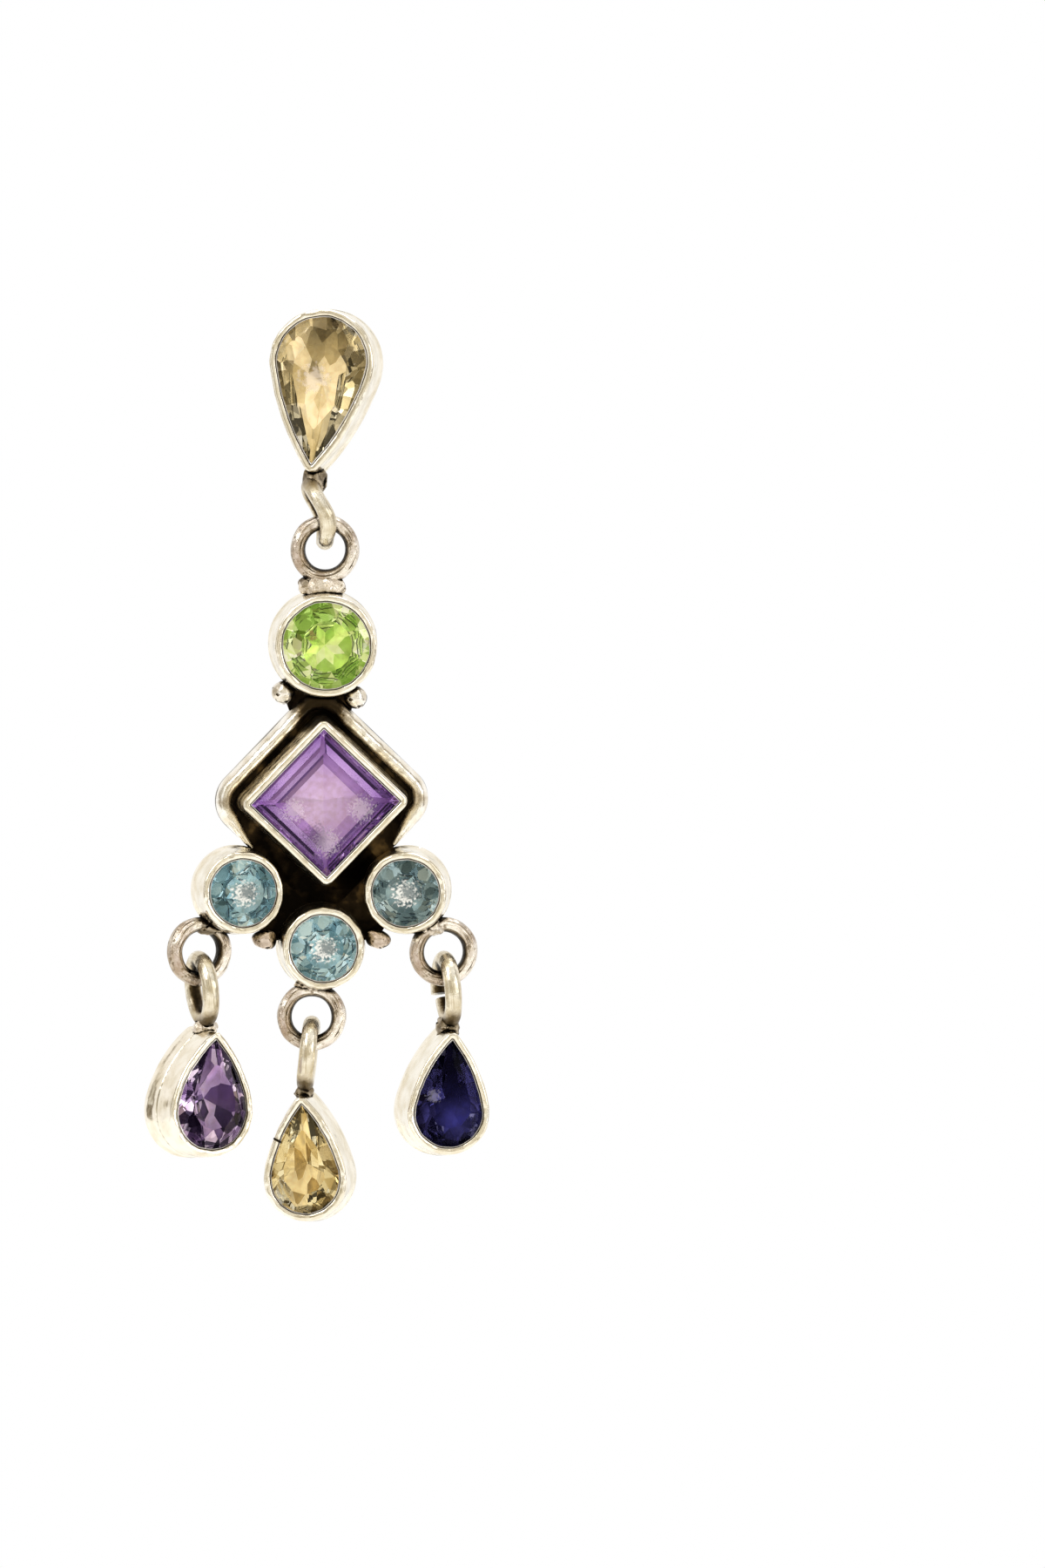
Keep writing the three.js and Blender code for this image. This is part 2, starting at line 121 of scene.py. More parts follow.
LIGHTS = (
    ("key softbox", (-0.35, -0.45, 0.45), 0.5, 1.6),
    ("fill softbox", (0.55, -0.3, 0.1), 0.45, 0.7),
    ("top softbox", (0.05, 0.15, 0.7), 0.7, 2.4),
)
for name, spot, width, watts in LIGHTS:
    light_data = bpy.data.lights.new(name, "AREA")
    light_data.shape = "DISK"
    light_data.size = width
    light_data.energy = watts
    light = bpy.data.objects.new(name, light_data)
    light.location = spot
    light.rotation_euler = (LIGHT_AIM - Vector(spot)).to_track_quat("-Z", "Y").to_euler()
    bpy.context.collection.objects.link(light)

# White tent round the earring: cream round the camera, white at the sides, and dark flags behind the
# sides that draw the edges of the metal. The camera itself sees plain white.
world = bpy.data.worlds.new("white tent")
world.use_nodes = True
scene.world = world
tree = world.node_tree
tree.nodes.clear()
where = add(tree, "ShaderNodeTexCoord").outputs["Generated"]
cloud = add(tree, "ShaderNodeTexNoise", {"Vector": where, "Scale": 2.6, "Detail": 1.5})
facing = add(tree, "ShaderNodeVectorMath", {0: where, 1: back}, operation="DOT_PRODUCT")
turned = add(tree, "ShaderNodeMapRange", {"Value": facing.outputs["Value"], "From Min": -1})
shifted = add(tree, "ShaderNodeMath", {0: cloud.outputs["Fac"], 1: 0.5, 2: turned.outputs["Result"]},
              operation="MULTIPLY_ADD")
centred = add(tree, "ShaderNodeMath", {0: shifted.outputs["Value"], 1: 0.25}, operation="SUBTRACT")
tent = add(tree, "ShaderNodeValToRGB", {"Fac": centred.outputs["Value"]}, stops=[
    (0.0, srgb("fffdf9")), (0.38, srgb("fff8ef")), (0.44, srgb("a2957d")), (0.49, srgb("56493a")),
    (0.54, srgb("a2957d")), (0.6, srgb("fbf6ea")), (0.74, srgb("ffffff")), (0.82, srgb("ece4d2")),
    (0.89, srgb("93866c")), (0.95, srgb("ddd3bd")), (1.0, srgb("f5eedd"))])
seen = add(tree, "ShaderNodeBackground", {"Color": (1, 1, 1, 1), "Strength": 1.0})
lit = add(tree, "ShaderNodeBackground", {"Color": tent.outputs["Color"], "Strength": 1.0})
ray = add(tree, "ShaderNodeLightPath")
both = add(tree, "ShaderNodeMixShader", {
    "Fac": ray.outputs["Is Camera Ray"], 1: lit.outputs["Background"], 2: seen.outputs["Background"]})
add(tree, "ShaderNodeOutputWorld", {"Surface": both.outputs["Shader"]})

# Stud cup. A pear-shaped bezel of sterling silver sheet, bent round the stone, soldered to a flat back
# and burnished over the stone's edge by hand, so its rim waves a little. It hangs tip down.
STUD_LEAN = -5.9
FOOT = 0.5
STUD_FOOT = 0.4
WALL = 0.3
LIP = 0.13
LIP_RISE = 0.38
CUP_BACK = 0.55
CUP_FLOOR = 0.64
CULET_GAP = 0.15
GIRDLE = 0.12
SEAT = 0.24
SEAT_DROP = 0.36
STONE_GAP = 0.06
TIP_ROUND = 0.14
TIP_FILED = 0.05
ROUND_STEPS = 128
NOISE_SEED = 7
HAND_WAVE = 0.022
HAND_WAVE_LENGTH = 1.3
LIP_WAVE = 0.035
LIP_WAVE_LENGTH = 0.45

# Each piece is drawn face-on in millimetres, y up and z to the front, and TO_SCENE stands that upright,
# in metres. Without a seed the noise would follow the clock, and no two runs would be alike.
TO_SCENE = Matrix.Rotation(pi / 2, 4, "X") @ Matrix.Scale(MM, 4)
noise.seed_set(NOISE_SEED)


def place(point, yaw=0, pitch=0, lean=0):
    turns = [Matrix.Rotation(radians(a), 4, axis) for a, axis in ((yaw, "Y"), (pitch, "X"), (lean, "Z"))]
    return Matrix.Translation(point) @ turns[0] @ turns[1] @ turns[2]


def below(distance, angle):
    """A point at a distance from zero, at an angle from straight down towards +x."""
    return distance * sin(radians(angle)), -distance * cos(radians(angle))


def pear_arcs(stone, offset):
    """Arcs (x, y, radius, from, to) of a pear's edge, tip up, moved outwards by an offset."""
    head = stone["width"] / 2
    tip = stone["length"] - head
    angle = radians(stone["shoulder"])
    extra = (tip * tip - head * head) / (2 * (head - tip * sin(angle)))
    x, y = extra * cos(angle), -extra * sin(angle)
    tip_y = y + sqrt((head + extra - TIP_ROUND) ** 2 - x * x)
    end = atan2(tip_y - y, x)
    flank = head + extra + offset
    return [
        (-x, y, flank, angle, end),
        (0, tip_y, max(TIP_ROUND + offset, 0.02), end, pi - end),
        (x, y, flank, pi - end, pi - angle),
        (0, 0, head + offset, pi - angle, 2 * pi + angle),
    ]


# A stone's sizes, for its cup as well: its outline, its width and length, how deep it is above and
# below its girdle, and for a pear the angle at which the head runs into the flanks.
STUD_STONE = {"outline": pear_arcs, "width": 5.2, "length": 8.4, "shoulder": 14, "pavilion": 1.82,
              "crown": 0.72}


def pear_tip(stone, offset):
    x, y, radius, start, stop = pear_arcs(stone, offset)[1]
    return y + radius - TIP_FILED


def edge_loop(bm, arcs, height):
    """A closed loop of edges at one height, each arc spun from its first point."""
    before = {*bm.verts, *bm.edges}
    first = last = None
    for x, y, radius, start, stop in arcs:
        vert = bm.verts.new((x + radius * cos(start), y + radius * sin(start), height))
        if last:
            bm.edges.new((last, vert))
        steps = max(4, round((stop - start) * ROUND_STEPS / (2 * pi)))
        spun = bmesh.ops.spin(bm, geom=[vert], cent=(x, y, height), axis=(0, 0, 1), angle=stop - start,
                              steps=steps)
        first = first or vert
        last = spun["geom_last"][0]
    bm.edges.new((last, first))
    bmesh.ops.remove_doubles(bm, verts=[v for v in bm.verts if v not in before], dist=1e-4)
    return [e for e in bm.edges if e not in before]


def shell(stone, profile, finishes=None):
    """A closed body through copies of a stone's outline, one for each (offset, height) of the profile.
    The finishes number the material of its back, of each step along the profile, and of its last face."""
    bm = bmesh.new()
    finishes = finishes or [0] * (len(profile) + 1)
    loops = [edge_loop(bm, stone["outline"](stone, offset), height) for offset, height in profile]
    for one, other, finish in zip(loops, loops[1:], finishes[1:]):
        for face in bmesh.ops.bridge_loops(bm, edges=one + other)["faces"]:
            face.material_index = finish
    for ring, finish in ((loops[0], finishes[0]), (loops[-1], finishes[-1])):
        cap = bmesh.ops.contextual_create(bm, geom=ring)["faces"][0]
        cap.material_index = finish
    bmesh.ops.recalc_face_normals(bm, faces=bm.faces)
    return bm


def cup_height(stone):
    return CUP_BACK + CULET_GAP + stone["pavilion"] + LIP_RISE


def cup(stone, seed, foot=FOOT, crease=()):
    """A closed-back bezel cup: wall, rolled rim, lip, seat and floor in one profile. The lip was pushed
    over the stone in short strokes, so its edge is not quite even. Its finishes: the metal, the hollow,
    the edge of the lip, and the back."""
    rim = cup_height(stone)
    middle = rim - LIP_RISE
    under_lip = middle + GIRDLE / 2 + STONE_GAP
    seat = middle - GIRDLE / 2 - STONE_GAP
    outside = [
        (foot - 0.05, 0), (foot, 0.05), (foot, CUP_BACK), (foot - 0.04, CUP_BACK + 0.06), *crease,
        (foot * 0.45 + WALL * 0.55, rim * 0.62), (WALL + 0.01, rim - 0.3), (WALL, rim - 0.16),
        (WALL - 0.03, rim - 0.07), (WALL - 0.09, rim - 0.015), (WALL - 0.17, rim),
        (-LIP + 0.14, rim - 0.02), (-LIP + 0.1, rim - 0.04), (-LIP, rim - 0.16),
        (-LIP, under_lip + STONE_GAP + LIP)]
    inside = [(STONE_GAP, under_lip), (STONE_GAP, seat), (-SEAT, seat - SEAT_DROP), (-SEAT, CUP_FLOOR)]
    finishes = [3] + [0] * (len(outside) - 3) + [2, 2] + [1] * (len(inside) + 1)
    bm = shell(stone, outside + inside, finishes)
    wave(bm, HAND_WAVE, HAND_WAVE_LENGTH, seed, above=0.1)
    wave(bm, LIP_WAVE, LIP_WAVE_LENGTH, seed, above=rim - 0.2)
    return bm


def wave(bm, amount, length, seed, above=-100):
    """Moves each point above a height a little by smooth noise, as hand work does."""
    for vert in bm.verts:
        if vert.co.z > above:
            vert.co += noise.noise_vector(vert.co / length + Vector((seed, seed, seed))) * amount


def keep_drawn(bm):
    """Notes where each point is drawn, for the finish's patterns, unless that is noted already."""
    if "drawn" not in bm.verts.layers.float_vector.keys():
        drawn = bm.verts.layers.float_vector.new("drawn")
        for vert in bm.verts:
            vert[drawn] = vert.co


def add_piece(name, bm, where, material, body, replaces, sharp=35, more_finishes=()):
    """The finished piece: its drawn place is kept for its pattern, then it is put where it belongs."""
    keep_drawn(bm)
    for face in bm.faces:
        face.smooth = True
    bm.transform(TO_SCENE @ where)
    data = bpy.data.meshes.new(name)
    bm.to_mesh(data)
    bm.free()
    data.set_sharp_from_angle(angle=radians(sharp))
    for finish in (material, *more_finishes):
        data.materials.append(finish)
    piece = bpy.data.objects.new(name, data)
    bpy.context.collection.objects.link(piece)
    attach(piece, body)
    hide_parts(replaces)
    return piece


# What marks the metal, in mm across. Real specks, scratches and draw-plate lines are finer than a pixel,
# so they are drawn as coarse as they need to be to show.
CLOUD = 10 / 9
SPECK = 1 / 6
PIT = 5 / 13
HAMMER_MARK = 2 / 3
SCRATCH = 1 / 16
DRAW_LINE = 1 / 11
BRIGHT_CUT = 1 / 3
RUBBED_PATCH = 2
RUBBED_SCRATCH = 0.2


def silver(name, bright, dull, rough, tarnish, hammer, scratch, pits=0.0, streaks=0.0, dark=()):
    """Sterling silver: warm white where it is bright, cream where it is dull, brown to black where
    sulphur has stayed. Tarnish is how far the black reaches out of the corners, in mm. Hammer, scratch,
    pits and streaks say how strong those marks are, and streaks run round a ring. Each item of dark is
    painted shade: it names a measure of the drawn place, where the painted shade is black, where it is
    gone, and how strongly."""
    material, tree = new_material(name)
    spot = add(tree, "ShaderNodeAttribute", attribute_name="drawn").outputs["Vector"]
    clouds = add(tree, "ShaderNodeTexNoise", {"Vector": spot, "Scale": 1 / CLOUD, "Detail": 3.0})
    specks = add(tree, "ShaderNodeTexNoise", {"Vector": spot, "Scale": 1 / SPECK, "Detail": 5.0})
    colour = add(tree, "ShaderNodeValToRGB", {"Fac": clouds.outputs["Fac"]},
                 stops=[(0.36, srgb(dull)), (0.62, srgb(bright))])
    corner = add(tree, "ShaderNodeAmbientOcclusion", {"Distance": tarnish * MM}, samples=8)
    ragged = add(tree, "ShaderNodeMath", {0: specks.outputs["Fac"], 1: 0.6, 2: corner.outputs["AO"]},
                 operation="MULTIPLY_ADD")
    black = add(tree, "ShaderNodeMapRange", {
        "Value": ragged.outputs["Value"], "From Min": 0.85, "From Max": 1.16, "To Min": 1.0,
        "To Max": 0.0}).outputs["Result"]
    flat = add(tree, "ShaderNodeVectorMath", {0: spot, 1: (1, 1, 0)}, operation="MULTIPLY").outputs[0]
    from_middle = add(tree, "ShaderNodeVectorMath", {0: flat}, operation="LENGTH").outputs["Value"]
    # Painted shade: each dark item darkens a band of the drawn place, such as a ring's inner flank.
    for measure, black_at, unshaded_at, strength in dark:
        if measure == "ring":
            value = from_middle
        elif measure == "square":
            size = add(tree, "ShaderNodeVectorMath", {0: flat}, operation="ABSOLUTE").outputs[0]
            sides = add(tree, "ShaderNodeSeparateXYZ", {"Vector": size}).outputs
            value = add(tree, "ShaderNodeMath", {0: sides[0], 1: sides[1]}, operation="MAXIMUM").outputs[0]
        elif measure == "corner":
            across = add(tree, "ShaderNodeVectorMath", {0: flat, 1: (sqrt(0.5), -sqrt(0.5), 0)},
                         operation="DOT_PRODUCT").outputs["Value"]
            value = add(tree, "ShaderNodeMath", {0: across}, operation="ABSOLUTE").outputs[0]
        else:
            value = add(tree, "ShaderNodeVectorMath", {0: spot, 1: measure},
                        operation="DOT_PRODUCT").outputs["Value"]
        change = unshaded_at - black_at
        value = add(tree, "ShaderNodeMath", {0: specks.outputs["Fac"], 1: 0.5 * change, 2: value},
                    operation="MULTIPLY_ADD").outputs[0]
        shade_mark = add(tree, "ShaderNodeMapRange", {
            "Value": value, "From Min": black_at + 0.25 * change, "From Max": unshaded_at + 0.25 * change,
            "To Min": strength, "To Max": 0.0}).outputs["Result"]
        black = add(tree, "ShaderNodeMath", {0: black, 1: shade_mark}, operation="MAXIMUM").outputs[0]
    holes = add(tree, "ShaderNodeTexNoise", {"Vector": spot, "Scale": 1 / PIT, "Detail": 3.0})
    pit = add(tree, "ShaderNodeMapRange", {
        "Value": holes.outputs["Fac"], "From Min": 0.56, "From Max": 0.66, "To Max": pits}).outputs["Result"]
    black = add(tree, "ShaderNodeMath", {0: black, 1: pit}, operation="MAXIMUM").outputs[0]
    blows = add(tree, "ShaderNodeTexNoise", {"Vector": spot, "Scale": 1 / HAMMER_MARK, "Detail": 1.0})
    lines = add(tree, "ShaderNodeTexNoise", {
        "Vector": spot, "Scale": 1 / SCRATCH, "Detail": 2.0, "Distortion": 0.6})
    axes = add(tree, "ShaderNodeSeparateXYZ", {"Vector": spot}).outputs
    along = add(tree, "ShaderNodeCombineXYZ", {"X": from_middle, "Y": axes["Z"]}).outputs["Vector"]
    drift = add(tree, "ShaderNodeVectorMath", {0: spot, 1: (0.07, 0.07, 0.07), 2: along},
                operation="MULTIPLY_ADD").outputs["Vector"]
    furrows = add(tree, "ShaderNodeTexNoise", {"Vector": drift, "Scale": 1 / DRAW_LINE, "Detail": 3.0})
    furrow = add(tree, "ShaderNodeMapRange", {
        "Value": furrows.outputs["Fac"], "From Min": 0.5, "From Max": 0.68, "To Max": streaks})
    black = add(tree, "ShaderNodeMath", {0: black, 1: furrow.outputs["Result"]},
                operation="MAXIMUM").outputs[0]
    # Colour of the black: tarnish from the corners and pits, and painted shade from the dark items.
    tarnish_and_shade_colour = add(tree, "ShaderNodeValToRGB", {"Fac": black}, stops=[
        (0.15, srgb("bfae88")), (0.4, srgb("8b7650")), (0.7, srgb("3d3222")), (1.0, srgb("130f0a"))])
    cover = add(tree, "ShaderNodeMath", {0: black, 1: 1.6}, operation="MULTIPLY", use_clamp=True)
    tone = add(tree, "ShaderNodeMix", {
        0: cover.outputs[0], 6: colour.outputs["Color"], 7: tarnish_and_shade_colour.outputs["Color"]}, data_type="RGBA")
    gloss = add(tree, "ShaderNodeMapRange", {
        "Value": clouds.outputs["Fac"], "From Min": 0.3, "From Max": 0.7, "To Min": rough * 1.5,
        "To Max": rough * 0.7}).outputs["Result"]
    worn = add(tree, "ShaderNodeMath", {0: black, 1: 0.25, 2: gloss}, operation="MULTIPLY_ADD")
    bumps = None
    for strength, depth, height, into in (
            (hammer, 0.25, blows.outputs["Fac"], False), (min(pits, 1), 0.12, pit, True),
            (streaks, 0.09, furrows.outputs["Fac"], False), (scratch, 0.03, lines.outputs["Fac"], False)):
        inputs = {"Strength": strength, "Distance": depth * MM, "Height": height}
        if bumps:
            inputs["Normal"] = bumps.outputs["Normal"]
        bumps = add(tree, "ShaderNodeBump", inputs, invert=into)
    shader = add(tree, "ShaderNodeBsdfPrincipled", {
        "Base Color": tone.outputs["Result"], "Metallic": 1.0, "Roughness": worn.outputs["Value"],
        "Normal": bumps.outputs["Normal"]})
    add(tree, "ShaderNodeOutputMaterial", {"Surface": shader.outputs["BSDF"]})
    return material


def glowing_seat(glow):
    """The seat and floor under a stone, freshly cut, with a painted glow: it gives off its own colour,
    so it gleams up through the stone as if it sent back the light that the stone gathers."""
    material, tree = new_material("bright-cut silver seat with painted glow")
    spot = add(tree, "ShaderNodeAttribute", attribute_name="drawn").outputs["Vector"]
    cuts = add(tree, "ShaderNodeTexNoise", {"Vector": spot, "Scale": 1 / BRIGHT_CUT, "Detail": 2.0})
    colour = add(tree, "ShaderNodeValToRGB", {"Fac": cuts.outputs["Fac"]},
                 stops=[(0.35, srgb("efe9dc")), (0.6, srgb("fffdf8"))])
    shader = add(tree, "ShaderNodeBsdfPrincipled", {
        "Base Color": colour.outputs["Color"], "Metallic": 1.0, "Roughness": 0.3,
        "Emission Color": colour.outputs["Color"], "Emission Strength": glow})
    add(tree, "ShaderNodeOutputMaterial", {"Surface": shader.outputs["BSDF"]})
    return material


def rubbed_sheet():
    """The flat back, rubbed on a stone: a grey sheen with scratches one way. One pattern runs over all
    its parts."""
    material, tree = new_material("rubbed silver sheet")
    spot = add(tree, "ShaderNodeTexCoord").outputs["Object"]
    long = add(tree, "ShaderNodeVectorMath", {0: spot, 1: (0.15 / MM, 1 / MM, 1 / MM)}, operation="MULTIPLY")
    patches = add(tree, "ShaderNodeTexNoise", {"Vector": spot, "Scale": 1 / RUBBED_PATCH / MM, "Detail": 4.0})
    scratches = add(tree, "ShaderNodeTexNoise", {
        "Vector": long.outputs["Vector"], "Scale": 1 / RUBBED_SCRATCH, "Detail": 3.0})
    colour = add(tree, "ShaderNodeValToRGB", {"Fac": patches.outputs["Fac"]},
                 stops=[(0.35, srgb("d3ccbc")), (0.65, srgb("efe9dc"))])
    gloss = add(tree, "ShaderNodeMapRange", {
        "Value": scratches.outputs["Fac"], "To Min": 0.2, "To Max": 0.45})
    bumps = add(tree, "ShaderNodeBump", {
        "Strength": 0.3, "Distance": 0.02 * MM, "Height": scratches.outputs["Fac"]})
    shader = add(tree, "ShaderNodeBsdfPrincipled", {
        "Base Color": colour.outputs["Color"], "Metallic": 1.0, "Roughness": gloss.outputs["Result"],
        "Normal": bumps.outputs["Normal"]})
    add(tree, "ShaderNodeOutputMaterial", {"Surface": shader.outputs["BSDF"]})
    return material


# Burnished silver: nearly white, with wide cream reflections and soft hand-made waves. The lip's edge
# is near black, partly tarnish and partly painted shade in the crevice, and draws a thin line round each
# stone.
burnished = silver("burnished sterling silver", "fbf7ec", "e9e1cd", rough=0.16, tarnish=0.16, hammer=0.25,
                   scratch=0.15)
# Near-black lip edge: tarnish and painted shade where the lip meets the stone.
shaded_lip_edge = silver("dark edge of the lip", "33281a", "0f0b06", rough=0.4, tarnish=0.2, hammer=0.3,
                  scratch=0.5)
sheet_back = rubbed_sheet()
# The seats under the stones glow with painted light, brightest under the stud's stone.
cup_finishes = (glowing_seat(0.4), shaded_lip_edge, sheet_back)
stud_finishes = (glowing_seat(0.6), shaded_lip_edge, sheet_back)
stud_down = place((0, 0, 0), lean=180 + STUD_LEAN)
bm = cup(STUD_STONE, 3.1, STUD_FOOT)
add_piece("stud_cup", bm, stud_down, burnished, "stud", "stud_setting", more_finishes=stud_finishes)

# Ear post. Half-hard silver wire, butted and soldered to the middle of the flat back, its end rounded
# with a file. The photograph hides it.
POST_DIAMETER = 0.9
POST_LENGTH = 11
POST_ROUND = 0.3
POST_SINK = 0.01
# Drawn wire: even and smooth, with a soft sheen.
post_wire = silver("drawn silver wire", "f3efe6", "ddd5c4", rough=0.22, tarnish=0.25, hammer=0.04,
                   scratch=0.25)
bm = bmesh.new()
bmesh.ops.create_circle(bm, cap_ends=True, segments=32, radius=POST_DIAMETER / 2)
rod = bmesh.ops.extrude_face_region(bm, geom=bm.faces[:])
tail = [v for v in rod["geom"] if isinstance(v, bmesh.types.BMVert)]
bmesh.ops.translate(bm, vec=(0, 0, -POST_LENGTH), verts=tail)
end = [e for e in bm.edges if all(v.co.z < -POST_LENGTH / 2 for v in e.verts)]
bmesh.ops.bevel(bm, geom=end, offset=POST_ROUND, offset_type="OFFSET", segments=6, profile=0.5,
                affect="EDGES", material=-1)
bmesh.ops.recalc_face_normals(bm, faces=bm.faces)
add_piece("ear_post", bm, place((0, 0, POST_SINK)), post_wire, "stud", "stud_setting", sharp=60)

# Hook. A ring of round wire that hangs on edge under the stud's tip, turned into line with the frame.
# Its bottom carries the frame. A rough lump of solder, left black, holds it to the cup.
BAIL_WIRE = 0.92
HOOK_RADIUS = 1.6
HOOK_HEIGHT = 1.3
HOOK_LEAN = 10.5
HOOK_BEND = 0.24
FRAME_YAW = 13.5
SOLDER_GAP = 0.05
HOOK_SOLDER = (1.35, 1.6, 1.4)
HOOK_SOLDER_DROP = 0.3


def wire_ring(radius, wire, width, opening=0, sideways=0):
    """A ring of wire about zero, flat in the drawing. An opening leaves its ends apart, and they may
    stand sideways of each other, as in a ring that has been opened and closed by hand."""
    bm = bmesh.new()
    section = Matrix.Translation((radius, 0, 0)) @ Matrix.Rotation(pi / 2, 4, "X")
    section = section @ Matrix.Diagonal((1, width / wire, 1, 1))
    bmesh.ops.create_circle(bm, cap_ends=opening > 0, segments=20, radius=wire / 2, matrix=section)
    turn = 2 * pi - opening / radius
    steps = 72
    bmesh.ops.spin(bm, geom=bm.verts[:] + bm.edges[:] + bm.faces[:], cent=(0, 0, 0), axis=(0, 0, 1),
                   angle=turn, steps=steps, use_merge=opening == 0, dvec=(0, 0, sideways / steps))
    bmesh.ops.remove_doubles(bm, verts=bm.verts, dist=1e-4)
    bmesh.ops.recalc_face_normals(bm, faces=bm.faces)
    keep_drawn(bm)
    return bm


def hanging(bm, radius, turn=0, start=0):
    """Stands a flat ring on edge, turned a little, with the middle of its top wire at zero."""
    bm.transform(Matrix.Translation((0, -radius, 0)) @ Matrix.Rotation(pi / 2 + radians(turn), 4, "Y")
                 @ Matrix.Rotation(radians(start), 4, "Z"))
    return bm


def lump(size, rough, grain, seed):
    """A lump of solder or a melted ball: a round body with a rough skin."""
    bm = bmesh.new()
    bmesh.ops.create_icosphere(bm, subdivisions=4, radius=0.5)
    bm.transform(Matrix.Diagonal((*size, 1)))
    wave(bm, rough, grain, seed)
    return bm


def shaded_hanging_wire(name, shaded_end):
    """Round wire that others rub against: cream where it is rubbed, with painted shade, brown to black,
    inside the bend and towards the end that is soldered."""
    return silver(name, "fbf6e8", "cfc3a8", rough=0.19, tarnish=0.5, hammer=0.35, scratch=0.3, pits=0.2,
                  streaks=0.3, dark=[("ring", HOOK_RADIUS - 0.42, HOOK_RADIUS - 0.1, 0.9), shaded_end])


# Painted shade: darker at the hook's top, where it meets the stud's tip, and at each bail's foot, where it
# meets its cup.
shaded_hook_wire = shaded_hanging_wire("rubbed silver wire, painted shade inside and at the top", ((0, 1, 0), 1.75, 1.05, 0.5))
shaded_bail_wire = shaded_hanging_wire("rubbed silver wire, painted shade inside and at the foot", ((0, -1, 0), 1.75, 1.2, 0.6))
# Solder: duller and greyer than the wire, full of pits, and black where the flame has left its scale.
solder_black = silver("blackened solder", "cfc3b0", "6f6352", rough=0.28, tarnish=0.4, hammer=1.0,
                      scratch=1.0, pits=1.0)
solder_grey = silver("cleaned solder", "fcf6ee", "d2c5b4", rough=0.2, tarnish=0.12, hammer=1.0, scratch=0.8,
                     pits=0.5)
stud_tip = stud_down @ Vector((0, pear_tip(STUD_STONE, FOOT), 0))
hook_top = Vector((stud_tip.x, stud_tip.y - SOLDER_GAP - BAIL_WIRE / 2, HOOK_HEIGHT))
hook = place(hook_top, yaw=FRAME_YAW, lean=HOOK_LEAN)
bm = hanging(wire_ring(HOOK_RADIUS, BAIL_WIRE, BAIL_WIRE), HOOK_RADIUS)
# Bent by hand, the ring swings a little sideways on its way down.
for vert in bm.verts:
    vert.co.x -= HOOK_BEND * cos(1.5 * pi * min(max(-vert.co.y / (2 * HOOK_RADIUS), 0), 1))
wave(bm, HAND_WAVE * 1.5, length=1.6, seed=5.7)
add_piece("hook_ring", bm, hook, shaded_hook_wire, "stud", "stud_setting")
bm = lump(HOOK_SOLDER, rough=0.16, grain=0.35, seed=1.7)
add_piece("hook_solder", bm, place((stud_tip.x, stud_tip.y - HOOK_SOLDER_DROP, HOOK_HEIGHT)), solder_black,
          "stud", "stud_setting")
hook_bottom = hook @ Vector((0, -2 * HOOK_RADIUS, 0))

# Back plate. One flat sheet of silver under the square and the lower cups, cut to their outline. Its
# front is blackened with liver of sulphur, its back is left as rolled and rubbed.
FRAME_PITCH = 4
FRAME_LEAN = -0.1
HANG_GAP = 0.24
FRAME_WIRE = 0.76
FRAME_WIRE_WIDTH = 1.1
FRAME_RING_RADIUS = 1.5
TOP_RING_HEIGHT = 1.5
TOP_RING_GAP = 0.34
SQUARE_FOOT = 0.6
PLATE = 0.6
PLATE_BACK = 0.012
TUCK = 0.24
SQUARE_TURN = 46.5
CORNER_FILED = 0.03
GROOVE = 0.18
BORDER_WIDTH = 0.9
SIDE_CUP_SLIDE = 0.13
SIDE_CUP_TILT = 7
UPPER_BALL = {"diameter": 1.26, "left": 39, "right": 31.5, "tuck": 0.15}
LOWER_BALL = {"diameter": 1.1, "out": 1.38, "tuck": 0.15}
PLATE_CLOUD = 5 / 4


def round_arcs(stone, offset):
    return [(0, 0, stone["width"] / 2 + offset, 0, 2 * pi)]


def square_arcs(stone, offset):
    radius = max(stone["corner"] + offset, 0.04)
    reach = stone["width"] / 2 + offset - radius
    corners = ((reach, reach), (-reach, reach), (-reach, -reach), (reach, -reach))
    return [(x, y, radius, i * pi / 2, (i + 1) * pi / 2) for i, (x, y) in enumerate(corners)]


PERIDOT_STONE = {"outline": round_arcs, "width": 5.0, "pavilion": 1.92, "crown": 0.72}
SQUARE_STONE = {"outline": square_arcs, "width": 6.0, "corner": 0.14, "pavilion": 2.2, "crown": 0.62}
TOPAZ_STONE = {"outline": round_arcs, "width": 3.9, "pavilion": 1.62, "crown": 0.6}
border_inner = SQUARE_FOOT + GROOVE
border_outer = border_inner + BORDER_WIDTH
corner_x, _, corner_radius, _, _ = square_arcs(SQUARE_STONE, border_outer)[0]
plate_reach = corner_x * sqrt(2) + corner_radius - CORNER_FILED
peridot_foot = PERIDOT_STONE["width"] / 2 + FOOT
topaz_foot = TOPAZ_STONE["width"] / 2 + FOOT
peridot_y = -(FRAME_RING_RADIUS + FRAME_WIRE / 2 + TOP_RING_GAP + peridot_foot)
square_y = peridot_y - peridot_foot - plate_reach + TUCK
middle_y = square_y - plate_reach - topaz_foot + TUCK
side_reach = SQUARE_STONE["width"] / 2 + border_outer + topaz_foot - TUCK
side_x = (side_reach - SIDE_CUP_SLIDE) / sqrt(2)
side_y = square_y - (side_reach + SIDE_CUP_SLIDE) / sqrt(2)
side_lift = topaz_foot * sin(radians(SIDE_CUP_TILT))
link_drop = FRAME_RING_RADIUS - FRAME_WIRE / 2 - HANG_GAP - BAIL_WIRE / 2
frame_place = place(hook_bottom, yaw=FRAME_YAW, pitch=FRAME_PITCH, lean=FRAME_LEAN) @ Matrix.Translation(
    (0, -link_drop, -TOP_RING_HEIGHT))


